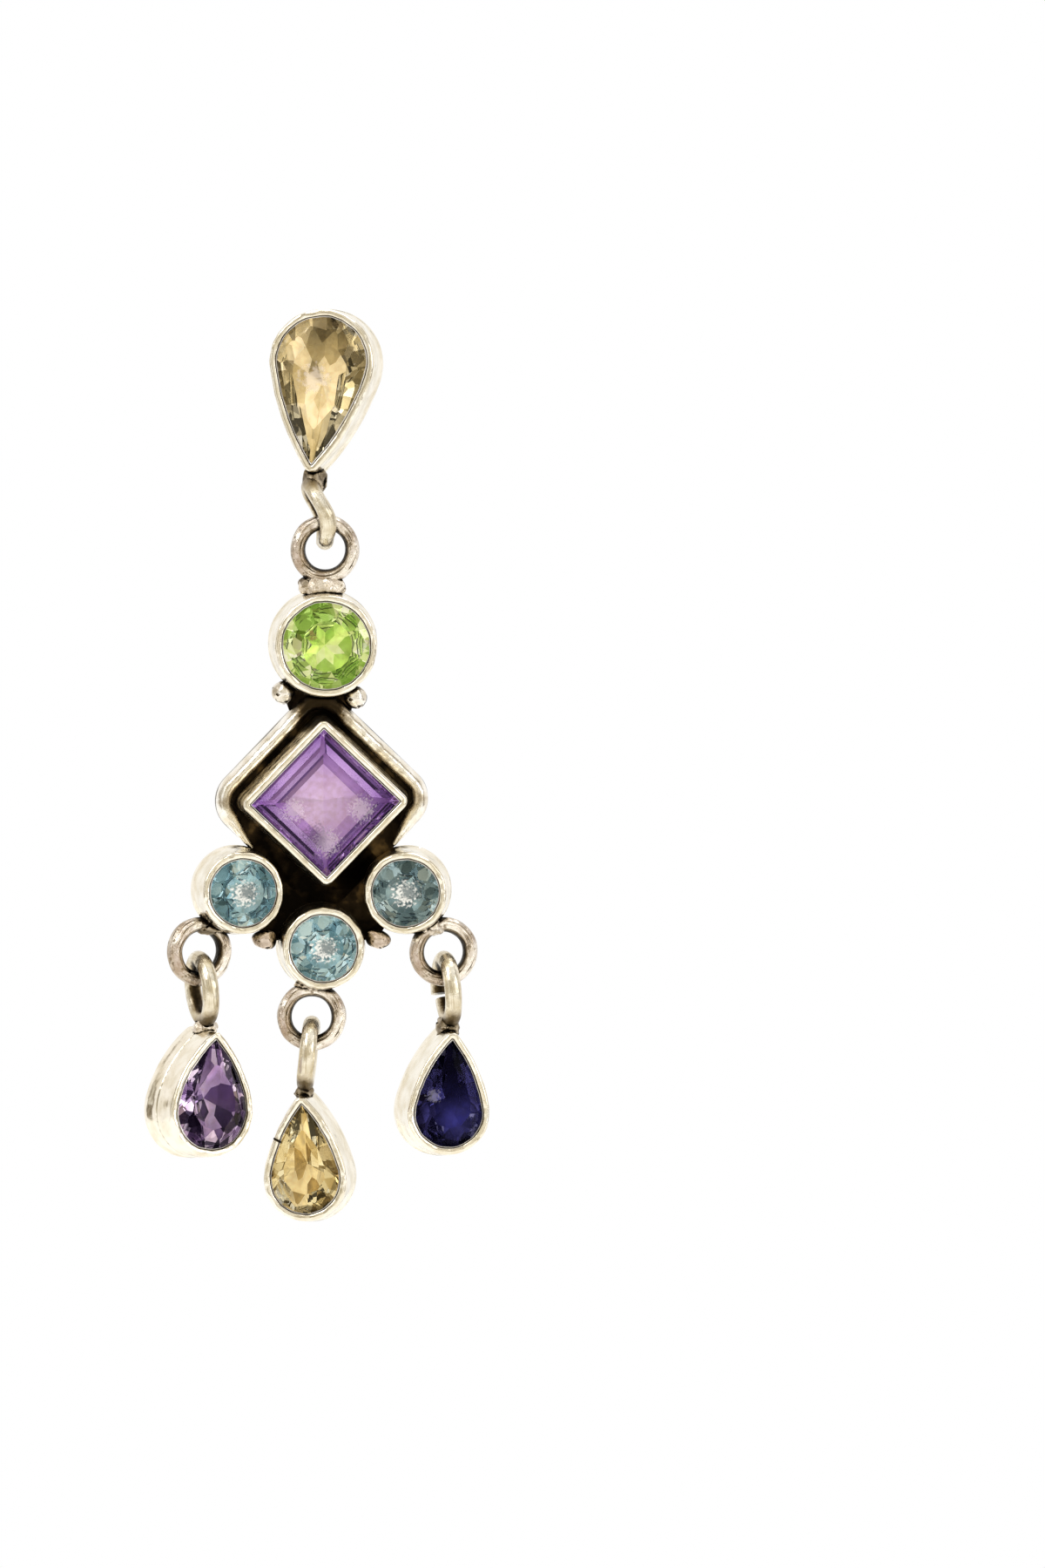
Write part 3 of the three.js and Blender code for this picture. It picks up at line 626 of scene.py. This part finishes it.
def lower_ball(side):
    middle = Vector((0, middle_y, 0))
    other = Vector((side * side_x, side_y, 0))
    along = (other - middle).normalized()
    out = Vector((side * along.y, -side * along.x, 0))
    centre = (middle + other) / 2 + out * LOWER_BALL["out"]
    centre.z = PLATE + LOWER_BALL["diameter"] / 2 - LOWER_BALL["tuck"]
    return centre


def upper_ball(angle):
    x, y = below(peridot_foot + UPPER_BALL["diameter"] / 2 - UPPER_BALL["tuck"], angle)
    return Vector((x, peridot_y + y, PLATE))


def blackened_plate():
    """Silver sheet. Its front is black with sulphur and shows warm brown clouds where that has worn; its
    edge runs into the grey of the rubbed back, by the drawn height."""
    material, tree = new_material("blackened silver sheet")
    spot = add(tree, "ShaderNodeAttribute", attribute_name="drawn").outputs["Vector"]
    axes = add(tree, "ShaderNodeSeparateXYZ", {"Vector": spot})
    grain = add(tree, "ShaderNodeTexNoise", {"Vector": spot, "Scale": 1 / PLATE_CLOUD, "Detail": 5.0})
    front = add(tree, "ShaderNodeMapRange", {"Value": axes.outputs["Z"], "From Min": 0.1, "From Max": 0.45})
    black = add(tree, "ShaderNodeValToRGB", {"Fac": grain.outputs["Fac"]},
                stops=[(0.45, srgb("0c0906")), (0.6, srgb("251d13")), (0.72, srgb("57452a"))])
    rubbed = add(tree, "ShaderNodeValToRGB", {"Fac": grain.outputs["Fac"]},
                 stops=[(0.35, srgb("b9b1a0")), (0.65, srgb("ece7dc"))])
    tone = add(tree, "ShaderNodeMix", {
        0: front.outputs["Result"], 6: rubbed.outputs["Color"], 7: black.outputs["Color"]}, data_type="RGBA")
    gloss = add(tree, "ShaderNodeMapRange", {
        "Value": front.outputs["Result"], "To Min": 0.28, "To Max": 0.42})
    bumps = add(tree, "ShaderNodeBump", {
        "Strength": 0.5, "Distance": 0.05 * MM, "Height": grain.outputs["Fac"]})
    shader = add(tree, "ShaderNodeBsdfPrincipled", {
        "Base Color": tone.outputs["Result"], "Metallic": 1.0, "Roughness": gloss.outputs["Result"],
        "Normal": bumps.outputs["Normal"]})
    add(tree, "ShaderNodeOutputMaterial", {"Surface": shader.outputs["BSDF"]})
    return material


oxidised = blackened_plate()
square_place = Matrix.Translation((0, square_y, 0)) @ Matrix.Rotation(radians(SQUARE_TURN), 4, "Z")
plate_edge = [(border_outer - 0.05, PLATE_BACK), (border_outer, 0.05), (border_outer, PLATE)]
bm = shell(SQUARE_STONE, plate_edge, finishes=[1, 0, 0, 0])
add_piece("square_plate", bm, frame_place @ square_place, oxidised, "main_drop", "frame_setting",
          more_finishes=(sheet_back,))
balls = {"upper_left": upper_ball(-UPPER_BALL["left"]), "upper_right": upper_ball(UPPER_BALL["right"]),
         "lower_left": lower_ball(-1), "lower_right": lower_ball(1)}
WEBS = {
    "upper_web": ((0, square_y), balls["upper_right"][:2], (0, peridot_y), balls["upper_left"][:2]),
    "lower_web": ((0, square_y), (-side_x, side_y), balls["lower_left"][:2], (0, middle_y),
                  balls["lower_right"][:2], (side_x, side_y)),
}
for name, corners in WEBS.items():
    bm = bmesh.new()
    face = bm.faces.new([bm.verts.new((x, y, 2 * PLATE_BACK)) for x, y in corners])
    rise = bmesh.ops.extrude_face_region(bm, geom=[face])
    top = [v for v in rise["geom"] if isinstance(v, bmesh.types.BMVert)]
    bmesh.ops.translate(bm, vec=(0, 0, PLATE - 2 * PLATE_BACK), verts=top)
    bmesh.ops.recalc_face_normals(bm, faces=bm.faces)
    for side in bm.faces:
        side.material_index = int(side.normal.z < -0.9)
    add_piece(name, bm, frame_place, oxidised, "main_drop", "frame_setting", more_finishes=(sheet_back,))

# Border. Half-round wire bent round the upper sides of the square and soldered to the plate, from one
# side cup to the other, where its ends are filed thin. Its outer flank is polished; its inner flank falls
# into a black groove, with painted shade down it, and painted shade darkens it over the top corner.
BORDER_RISE = 0.75
BORDER_END = 0.95
BORDER_TAPER = 1.3
BORDER_END_WIDTH = 0.25
BORDER_END_HEIGHT = 0.4
border_base = PLATE * 0.9
bm = shell(SQUARE_STONE, [
    (border_inner + BORDER_WIDTH * across, border_base + BORDER_RISE * rise) for across, rise in (
        (1.0, 0), (1.0, 0.12), (0.96, 0.35), (0.88, 0.6), (0.76, 0.85), (0.62, 1.0), (0.5, 1.03),
        (0.38, 1.0), (0.24, 0.85), (0.12, 0.6), (0.04, 0.35), (0.0, 0.12), (0.0, 0))])
caps = sorted(bm.faces, key=lambda f: f.calc_area())[-2:]
bmesh.ops.delete(bm, geom=caps, context="FACES_ONLY")
ends = [e for e in bm.edges if e.is_boundary]
bmesh.ops.bridge_loops(bm, edges=ends)
for axis in ((1, 0, 0), (0, 1, 0)):
    bmesh.ops.bisect_plane(bm, geom=bm.verts[:] + bm.edges[:] + bm.faces[:], plane_no=axis,
                           plane_co=Vector(axis) * BORDER_END)
lower_sides = [f for f in bm.faces if max(f.calc_center_median()[:2]) < BORDER_END]
bmesh.ops.delete(bm, geom=lower_sides, context="FACES")
keep_drawn(bm)
outer_edge = SQUARE_STONE["width"] / 2 + border_outer
for vert in bm.verts:
    left = min(1, (max(vert.co[:2]) - BORDER_END) / BORDER_TAPER)
    full = 1 - (1 - left) ** 2
    width_left = BORDER_END_WIDTH + (1 - BORDER_END_WIDTH) * full
    height_left = BORDER_END_HEIGHT + (1 - BORDER_END_HEIGHT) * full
    for axis in (0, 1):
        if vert.co[axis] < -border_inner:
            vert.co[axis] = -outer_edge + (vert.co[axis] + outer_edge) * width_left
    vert.co.z = border_base + (vert.co.z - border_base) * height_left
bm.transform(square_place)
bmesh.ops.holes_fill(bm, edges=[e for e in bm.edges if e.is_boundary], sides=0)
bmesh.ops.recalc_face_normals(bm, faces=bm.faces)
wave(bm, HAND_WAVE * 1.6, length=1.8, seed=8.2)
inner_edge = SQUARE_STONE["width"] / 2 + border_inner
# Filed and polished wire: white along its crest, with painted shade, brown to black, down its inner flank and
# over the top corner.
shaded_border_silver = silver("border wire silver with painted shade", "fffefa", "ebe3d2", rough=0.15, tarnish=0.25, hammer=0.4,
                       scratch=0.35, dark=[("square", inner_edge + 0.16, inner_edge + 0.4, 0.4),
                                           ("corner", 0.9, 1.9, 0.85)])
add_piece("border_wire", bm, frame_place, shaded_border_silver, "main_drop", "frame_setting")

# Frame cups. Five bezel cups like the stud's: one round under the top ring, one square in the middle,
# three small round ones at the foot, of which the outer two lean towards the middle.
FRAME_CUPS = {
    "peridot": (PERIDOT_STONE, FOOT, Matrix.Translation((0, peridot_y, 0))),
    "square": (SQUARE_STONE, SQUARE_FOOT, square_place),
    "left": (TOPAZ_STONE, FOOT, place((-side_x, side_y, side_lift), yaw=SIDE_CUP_TILT)),
    "middle": (TOPAZ_STONE, FOOT, Matrix.Translation((0, middle_y, 0))),
    "right": (TOPAZ_STONE, FOOT, place((side_x, side_y, side_lift), yaw=-SIDE_CUP_TILT)),
}
# The square's seat glows with painted light as well.
square_finishes = (glowing_seat(0.5), shaded_lip_edge, sheet_back)
cup_places = {}
for seed, (name, (stone, foot, where)) in enumerate(FRAME_CUPS.items()):
    cup_places[name] = frame_place @ where
    bm = cup(stone, 11.3 + 2.9 * seed, foot)
    add_piece(f"{name}_cup", bm, cup_places[name], burnished, "main_drop", "frame_setting",
              more_finishes=square_finishes if name == "square" else cup_finishes)

# Balls. Four beads of scrap silver, melted into balls on charcoal and soldered in the corners between
# the cups. The upper two are rubbed bright; the lower two are dull, longer and a little sunken.
upper_melted = silver("melted silver balls", "ffffff", "ddd3c0", rough=0.08, tarnish=0.4, hammer=0.7,
                      scratch=0.5, pits=1.0)
lower_melted = silver("stained silver balls", "f4e6da", "94816c", rough=0.16, tarnish=0.6, hammer=1.0,
                      scratch=0.8, pits=1.0)
for seed, (name, centre) in enumerate(balls.items()):
    upper = name.startswith("upper")
    diameter = (UPPER_BALL if upper else LOWER_BALL)["diameter"]
    size = (diameter,) * 3 if upper else (diameter * 1.25, diameter, diameter)
    bm = lump(size, rough=0.05 if upper else 0.1, grain=0.6, seed=2.3 + seed * 4.1)
    add_piece(f"{name}_ball", bm, frame_place @ Matrix.Translation(centre),
              upper_melted if upper else lower_melted, "main_drop", "frame_setting")

# Frame rings. Short lengths of flattened wire, bent round a rod, closed and soldered on: one at the
# top, which hangs on the hook, and one under each lower cup. Their solder is rough, grey or black.
RING_SINK = 0.42
LOWER_RING_HEIGHT = 1.0
LOWER_RINGS = {
    "left": {"cup": (-side_x, side_y), "angle": -30, "yaw": 22},
    "middle": {"cup": (0, middle_y), "angle": -7.5, "yaw": -4},
    "right": {"cup": (side_x, side_y), "angle": 30, "yaw": 6},
}
ring_reach = topaz_foot + FRAME_RING_RADIUS + FRAME_WIRE / 2 - RING_SINK
ring_middles = {"top": Vector((0, 0, TOP_RING_HEIGHT))}
for name, ring in LOWER_RINGS.items():
    x, y = below(ring_reach, ring["angle"])
    ring_middles[name] = Vector((ring["cup"][0] + x, ring["cup"][1] + y, LOWER_RING_HEIGHT))
# Flattened wire: streaked all round by the draw plate, white on its face, with painted shade black on its
# inner flank and darker towards its back.
shaded_ring_wire = silver("silver ring wire with painted shade", "fff9f2", "b09c8c", rough=0.12, tarnish=0.5, hammer=0.9,
                   scratch=0.6, pits=0.5, streaks=0.8, dark=[
                       ("ring", FRAME_RING_RADIUS - 0.36, FRAME_RING_RADIUS - 0.14, 0.95),
                       ((0, 0, 1), -0.15, 0.45, 0.3)])
for seed, (name, middle) in enumerate(ring_middles.items()):
    yaw = LOWER_RINGS[name]["yaw"] if name in LOWER_RINGS else 0
    bm = wire_ring(FRAME_RING_RADIUS, FRAME_WIRE * 1.06, FRAME_WIRE_WIDTH * 0.95)
    wave(bm, HAND_WAVE * 1.6, length=1.0, seed=21.7 + 3.3 * seed)
    add_piece(f"{name}_ring", bm, frame_place @ place(middle, yaw=yaw), shaded_ring_wire, "main_drop",
              "frame_setting")

ring_edge = FRAME_RING_RADIUS + FRAME_WIRE / 2
SOLDERS = (
    ("top_solder", (-0.15, -ring_edge - 0.12, TOP_RING_HEIGHT), (2.6, 1.4, 1.25), solder_grey),
    # These two black lumps are solder, and their black also stands for the shade in the crevices between the
    # top ring and the cup: painted shade.
    ("top_solder_left", (-1.1, -ring_edge + 0.05, TOP_RING_HEIGHT), (0.65, 0.5, 0.9), solder_black),
    ("top_solder_right", (0.85, -ring_edge - 0.05, TOP_RING_HEIGHT), (0.5, 0.5, 0.9), solder_black),
    ("left_solder", ring_middles["left"] + Vector((0.6, 1.3, 0)), (1.6, 0.7, 1.1), solder_black),
    ("middle_solder", ring_middles["middle"] + Vector((0.15, 1.72, 0.05)), (2.2, 0.8, 1.25), solder_grey),
    ("right_solder", ring_middles["right"] + Vector((-0.7, 1.35, 0.05)), (1.8, 0.9, 1.2), solder_grey),
)
for seed, (name, centre, size, finish) in enumerate(SOLDERS):
    bm = lump(size, rough=0.16, grain=0.34, seed=31.9 + 3.7 * seed)
    add_piece(name, bm, frame_place @ Matrix.Translation(centre), finish, "main_drop", "frame_setting")

# Drops. Three pear cups like the stud's, tip up, each soldered under a bail of round wire that hangs
# in its ring. The right drop's bail is not closed, and the middle drop's rim shows the sheet's seam.
BAIL_RADIUS = 1.66
DROP_PITCH = 2
BAIL_OPENING = 348
BAIL_SIDEWAYS = 0.6
WALL_CREASE = ((0.43, 1.32), (0.35, 1.4), (0.42, 1.48))
PEAR_STONE = {"outline": pear_arcs, "shoulder": 12, "crown": 0.62}
DROPS = {
    "left": {
        "stone": {**PEAR_STONE, "width": 4.4, "length": 6.3, "pavilion": 2.0}, "crease": WALL_CREASE,
        "yaw": 22.5, "turn": -9, "bail": 5, "pear": -4.5, "solder": (1.45, 0.95, 1.4),
        "finish": solder_grey},
    "middle": {
        "stone": {**PEAR_STONE, "width": 4.0, "length": 6.3, "pavilion": 1.95},
        "yaw": -11.5, "turn": 4.5, "bail": -5.5, "pear": 3.2, "solder": (1.05, 1.0, 1.2),
        "finish": solder_black},
    "right": {
        "stone": {**PEAR_STONE, "width": 4.0, "length": 6.2, "pavilion": 2.0}, "opening": 0.32,
        "yaw": 6.5, "turn": 0, "bail": 3.7, "pear": -2.9, "solder": (1.3, 1.3, 1.3),
        "finish": solder_black},
}
bail_foot = 2 * BAIL_RADIUS + BAIL_WIRE / 2
drop_places = {}
for seed, (side, drop) in enumerate(DROPS.items()):
    name = f"drop_{side}"
    stone = drop["stone"]
    opening = drop.get("opening", 0)
    upright = frame_place @ place(ring_middles[side] - Vector((0, link_drop, 0)), yaw=drop["yaw"],
                                  pitch=DROP_PITCH - FRAME_PITCH, lean=-FRAME_LEAN)
    bail_lean = Matrix.Rotation(radians(drop["bail"]), 4, "Z")
    bm = hanging(wire_ring(BAIL_RADIUS, BAIL_WIRE, BAIL_WIRE, opening, opening * BAIL_SIDEWAYS), BAIL_RADIUS,
                 drop["turn"], BAIL_OPENING)
    wave(bm, HAND_WAVE * 1.4, length=1.3, seed=41.3 + 2.3 * seed)
    add_piece(f"{name}_bail", bm, upright @ bail_lean, shaded_bail_wire, "main_drop", f"{name}_setting")
    foot_x, foot_y = below(bail_foot, drop["bail"])
    down_x, down_y = below(SOLDER_GAP + pear_tip(stone, FOOT), drop["pear"])
    drop_places[side] = upright @ place(
        (foot_x + down_x, foot_y + down_y, -cup_height(stone) / 2), lean=drop["pear"])
    bm = cup(stone, 51.9 + 3.1 * seed, crease=drop.get("crease", ()))
    add_piece(f"{name}_cup", bm, drop_places[side], burnished, "main_drop", f"{name}_setting",
              more_finishes=cup_finishes)
    bm = lump(drop["solder"], rough=0.17, grain=0.32, seed=61.1 + 1.9 * seed)
    add_piece(f"{name}_solder", bm, upright @ Matrix.Translation((foot_x, foot_y, 0)), drop["finish"],
              "main_drop", f"{name}_setting")

# Seam. Where the two ends of the middle drop's wall meet, the rim was left open by a hair, and the gap
# has filled with black.
SEAM_AT = (-1.42, 2.2)
SEAM_SIZE = (0.5, 0.08, 0.45)
SEAM_LEAN = -30
SEAM_PROUD = 0.02
bm = bmesh.new()
bmesh.ops.create_cube(bm, size=1)
bm.transform(Matrix.Diagonal((*SEAM_SIZE, 1)))
# Polishing black: it swallows the light, so the gap reads as a dark line.
seam_black = silver("black in the seam", "2c2418", "120d08", rough=0.4, tarnish=0.2, hammer=0.2, scratch=0.5)
seam_height = cup_height(DROPS["middle"]["stone"]) - SEAM_SIZE[2] / 2 + SEAM_PROUD
seam_place = drop_places["middle"] @ place((*SEAM_AT, seam_height), lean=SEAM_LEAN)
add_piece("drop_middle_seam", bm, seam_place, seam_black, "main_drop", "drop_middle_setting")

# Stones. Nine natural stones, cut and polished: a flat table, rows of crown facets round it, and a
# pavilion that runs to a point below. A row is cut all round the stone before the next one begins.
HEART = 0.35
TONE_SPREAD = 0.25
COLOUR_ZONE = 5 / 4
FROST_HEIGHT = 0.6

# A row of facets: how many; where the first one stands, as a share of the step between two; how far
# out its plane passes at the girdle, and how far it leans in over the whole depth, as shares of the
# outline; 1 for the crown or -1 for the pavilion; and a tone of painted light and shade, where that
# isn't left to chance.
Row = namedtuple("Row", "facets shift reach lean side tone", defaults=(None,))
BRILLIANT_ROWS = (
    Row(8, 0, 1, 0.45, 1),
    Row(16, 0.5, 1, 0.415, 1),
    Row(8, 0.5, 1.075, 0.53, 1),
    Row(16, 0.5, 1, 0.8, -1),
    Row(8, 0, 1.07, 1.07, -1),
    Row(8, 0.5, 1.35, 1.48, -1),
)
PEAR_ROWS = (
    Row(10, 0, 1, 0.42, 1),
    Row(20, 0.5, 1, 0.395, 1),
    Row(10, 0.5, 1.065, 0.505, 1),
    Row(16, 0.5, 1, 0.8, -1),
    Row(9, 0, 1.07, 1.07, -1),
    Row(7, 0.5, 1.35, 1.48, -1),
)
STEP_ROWS = (
    Row(4, 0, 1, 0.2, 1, 0.8),
    Row(4, 0, 1.12, 0.46, 1, 0.5),
    Row(4, 0, 1, 0.5, -1, 0.9),
    Row(4, 0, 1.14, 0.95, -1, 0.6),
    Row(4, 0, 1.55, 1.55, -1, 0.1),
)
# A painted glow: each stone gives off a little of its own colour, so that even its dark facets keep some
# colour.
STONE_GLOW = 0.015
chance = Random(5)


def cut_stone(stone, rows):
    """A stone cut from a straight blank of its outline, plane by plane. A pear's point lies a little
    towards its tip. Each facet keeps a tone, painted light and shade that its colour follows."""
    bm = shell(stone, [(0, -stone["pavilion"]), (0, stone["crown"])])
    tone = bm.faces.layers.float.new("tone")
    for face in bm.faces:
        face[tone] = 0.5
    heart = Vector((0, (stone.get("length", stone["width"]) - stone["width"]) * HEART))
    outline = [vert.co.xy - heart for vert in bm.verts if vert.co.z > 0]
    for row in rows:
        height = stone["crown" if row.side > 0 else "pavilion"] - GIRDLE / 2
        for i in range(row.facets):
            angle = 2 * pi * (i + row.shift) / row.facets + pi / 2
            out = Vector((cos(angle), sin(angle)))
            width = max(point.dot(out) for point in outline)
            start = (*(heart + out * width * row.reach), row.side * GIRDLE / 2)
            normal = (*(out * height), row.side * width * row.lean)
            cut = bmesh.ops.bisect_plane(bm, geom=bm.verts[:] + bm.edges[:] + bm.faces[:], dist=1e-5,
                                         plane_co=start, plane_no=normal, clear_outer=True)
            rim = [e for e in cut["geom_cut"] if isinstance(e, bmesh.types.BMEdge)]
            for face in bmesh.ops.contextual_create(bm, geom=rim)["faces"]:
                # Painted light and shade: each new facet gets a tone, which lightens or darkens its colour.
                if row.tone is None:
                    face[tone] = chance.random()
                else:
                    face[tone] = row.tone + chance.uniform(-TONE_SPREAD, TONE_SPREAD)
    bmesh.ops.recalc_face_normals(bm, faces=bm.faces)
    return bm


def gem(name, colours, ior, centre, reach, zones, facets, patches=()):
    """Clear coloured stone, polished like glass. Its colour runs outwards from a centre, broken by cloudy
    zones and by the tone of each facet, which is painted light and shade for the bright and dark facets.
    It also gives off a little of its own colour, a painted glow. The third colour is also the specular
    tint, so that what the facets throw back inside keeps the stone's hue. A patch is a frosted or stained
    spot: place, size, colour, strength and grain in mm, coarser than real frosting so that it shows."""
    material, tree = new_material(name)
    spot = add(tree, "ShaderNodeAttribute", attribute_name="drawn").outputs["Vector"]
    facet = add(tree, "ShaderNodeAttribute", attribute_name="tone").outputs["Fac"]
    cloudy = add(tree, "ShaderNodeTexNoise", {"Vector": spot, "Scale": 1 / COLOUR_ZONE, "Detail": 3.0})
    far = add(tree, "ShaderNodeVectorMath", {0: spot, 1: centre}, operation="DISTANCE")
    run = add(tree, "ShaderNodeMapRange", {
        "Value": far.outputs["Value"], "From Max": reach, "To Min": -0.5, "To Max": 0.5}, clamp=False)
    run = add(tree, "ShaderNodeMath", {0: cloudy.outputs["Fac"], 1: zones, 2: run.outputs["Result"]},
              operation="MULTIPLY_ADD")
    # Painted light and shade: the facet's tone shifts the colour lighter or darker.
    run = add(tree, "ShaderNodeMath", {0: facet, 1: facets, 2: run.outputs["Value"]},
              operation="MULTIPLY_ADD")
    run = add(tree, "ShaderNodeMath", {0: run.outputs["Value"], 1: 0.5 - (zones + facets) / 2})
    tint = add(tree, "ShaderNodeValToRGB", {"Fac": run.outputs["Value"]},
               stops=[(i / (len(colours) - 1), srgb(colour)) for i, colour in enumerate(colours)])
    # The stone's faint emission in its own colour is a painted glow.
    surface = add(tree, "ShaderNodeBsdfPrincipled", {
        "Base Color": tint.outputs["Color"], "Roughness": 0.01, "Transmission Weight": 1.0,
        "Specular Tint": srgb(colours[2]), "IOR": ior,
        "Emission Color": tint.outputs["Color"], "Emission Strength": STONE_GLOW}).outputs["BSDF"]
    for (x, y), size, colour, strength, grain in patches:
        frost = add(tree, "ShaderNodeTexNoise", {"Vector": spot, "Scale": 1 / grain, "Detail": 5.0})
        near = add(tree, "ShaderNodeVectorMath", {0: spot, 1: (x, y, FROST_HEIGHT)}, operation="DISTANCE")
        within = add(tree, "ShaderNodeMapRange", {
            "Value": near.outputs["Value"], "From Max": size, "To Min": 0.75, "To Max": 0.2})
        veil = add(tree, "ShaderNodeMath", {0: frost.outputs["Fac"], 1: within.outputs["Result"]})
        veil = add(tree, "ShaderNodeMapRange", {
            "Value": veil.outputs["Value"], "From Min": 0.9, "From Max": 1.08, "To Max": strength})
        milk = add(tree, "ShaderNodeBsdfPrincipled", {"Base Color": srgb(colour), "Roughness": 0.5})
        surface = add(tree, "ShaderNodeMixShader", {
            "Fac": veil.outputs["Result"], 1: surface, 2: milk.outputs["BSDF"]}).outputs["Shader"]
    add(tree, "ShaderNodeOutputMaterial", {"Surface": surface})
    return material


def set_stone(node, stone, rows, where, material, body):
    """Cuts a stone and drops it into its cup: its girdle lies under the lip."""
    bm = cut_stone(stone, rows)
    seat = where @ Matrix.Translation((0, 0, cup_height(stone) - LIP_RISE))
    add_piece(f"{node}_stone", bm, seat, material, body, node, sharp=0)


# Stud citrine: pale smoky yellow, brighter towards the tip, hazy in the middle.
smoky_citrine = gem(
    "smoky citrine", ("f8eed6", "e0cfa2", "aa9a70", "544a34"), ior=1.55, centre=(0.2, 2.2, 0), reach=5.7,
    zones=0.4, facets=1.1, patches=[((0.3, 0.9), 1.3, "efe0d0", 0.55, 1 / 3)])
set_stone("stud_citrine", STUD_STONE, PEAR_ROWS, stud_down, smoky_citrine, "stud")

# Peridot: clear yellow green, with a brown speck.
peridot_green = gem(
    "peridot", ("f9fce4", "d8ea98", "b0d066", "709838"), ior=1.67, centre=(0.3, -0.5, 0), reach=3.6,
    zones=0.4, facets=1.6, patches=[((-0.8, 0.6), 0.45, "8a7a3a", 0.8, 1 / 4)])
set_stone("peridot", PERIDOT_STONE, BRILLIANT_ROWS, cup_places["peridot"], peridot_green, "main_drop")

# Amethyst: step cut, pale in the middle, frosted where the cutter left it.
square_amethyst = gem(
    "amethyst", ("d9cadd", "bfa6ca", "9474ac", "5e3c7c"), ior=1.55, centre=(0, 0, 0), reach=4.2, zones=0.3,
    facets=1.0, patches=[
        ((-1.5, -1.5), 1.3, "e6d9e6", 0.4, 1 / 8), ((-1.5, 1.0), 1.1, "e6d9e6", 0.35, 1 / 8),
        ((1.1, -1.6), 1.2, "e6d9e6", 0.35, 1 / 8), ((-1.7, -0.9), 1.2, "4a2f60", 0.5, 1 / 8)])
set_stone("amethyst", SQUARE_STONE, STEP_ROWS, cup_places["square"], square_amethyst, "main_drop")

# Sky topaz: three small grey-blue stones, frosted at the point.
frosting = [((0, 0), 1.15, "fafaf8", 0.85, 2 / 13), ((0.2, 0.1), 0.9, "4e6268", 0.8, 1 / 9)]
sky_topaz, grey_topaz = (
    gem(name, colours, ior=1.62, centre=(0, 0, -0.4), reach=2.6, zones=0.4, facets=1.7, patches=frosting)
    for name, colours in (("sky topaz", ("e0f0f2", "b2d0d8", "82a6b2", "4c6e7a")),
                          ("greyer topaz", ("d2e0e0", "a3b8bc", "748a90", "44585e"))))
for side, material in (("left", sky_topaz), ("middle", sky_topaz), ("right", grey_topaz)):
    set_stone(f"topaz_{side}", TOPAZ_STONE, BRILLIANT_ROWS, cup_places[side], material, "main_drop")

# Drop stones: pale amethyst, golden citrine and a navy iolite that is blue only in its middle.
pale_amethyst = gem(
    "pale amethyst", ("e6d4ec", "a284b4", "3e2a52", "08050e"), ior=1.55, centre=(-0.4, 0.8, 0), reach=4.8,
    zones=0.6, facets=2.1)
golden_citrine = gem(
    "golden citrine", ("faf0cc", "dfc88c", "a88e56", "5a4626"), ior=1.55, centre=(0, 0, 0), reach=4.8,
    zones=0.5, facets=1.6)
navy_iolite = gem(
    "iolite", ("8a88de", "504ea4", "24224e", "100e20"), ior=1.54, centre=(0.5, 0, 0), reach=2.1, zones=0.5,
    facets=0.5, patches=[((-0.95, 0.9), 0.6, "b8b4d0", 0.25, 1 / 7)])
for side, kind, material in (("left", "amethyst", pale_amethyst), ("middle", "citrine", golden_citrine),
                             ("right", "iolite", navy_iolite)):
    set_stone(f"drop_{side}_{kind}", DROPS[side]["stone"], PEAR_ROWS, drop_places[side], material,
              "main_drop")
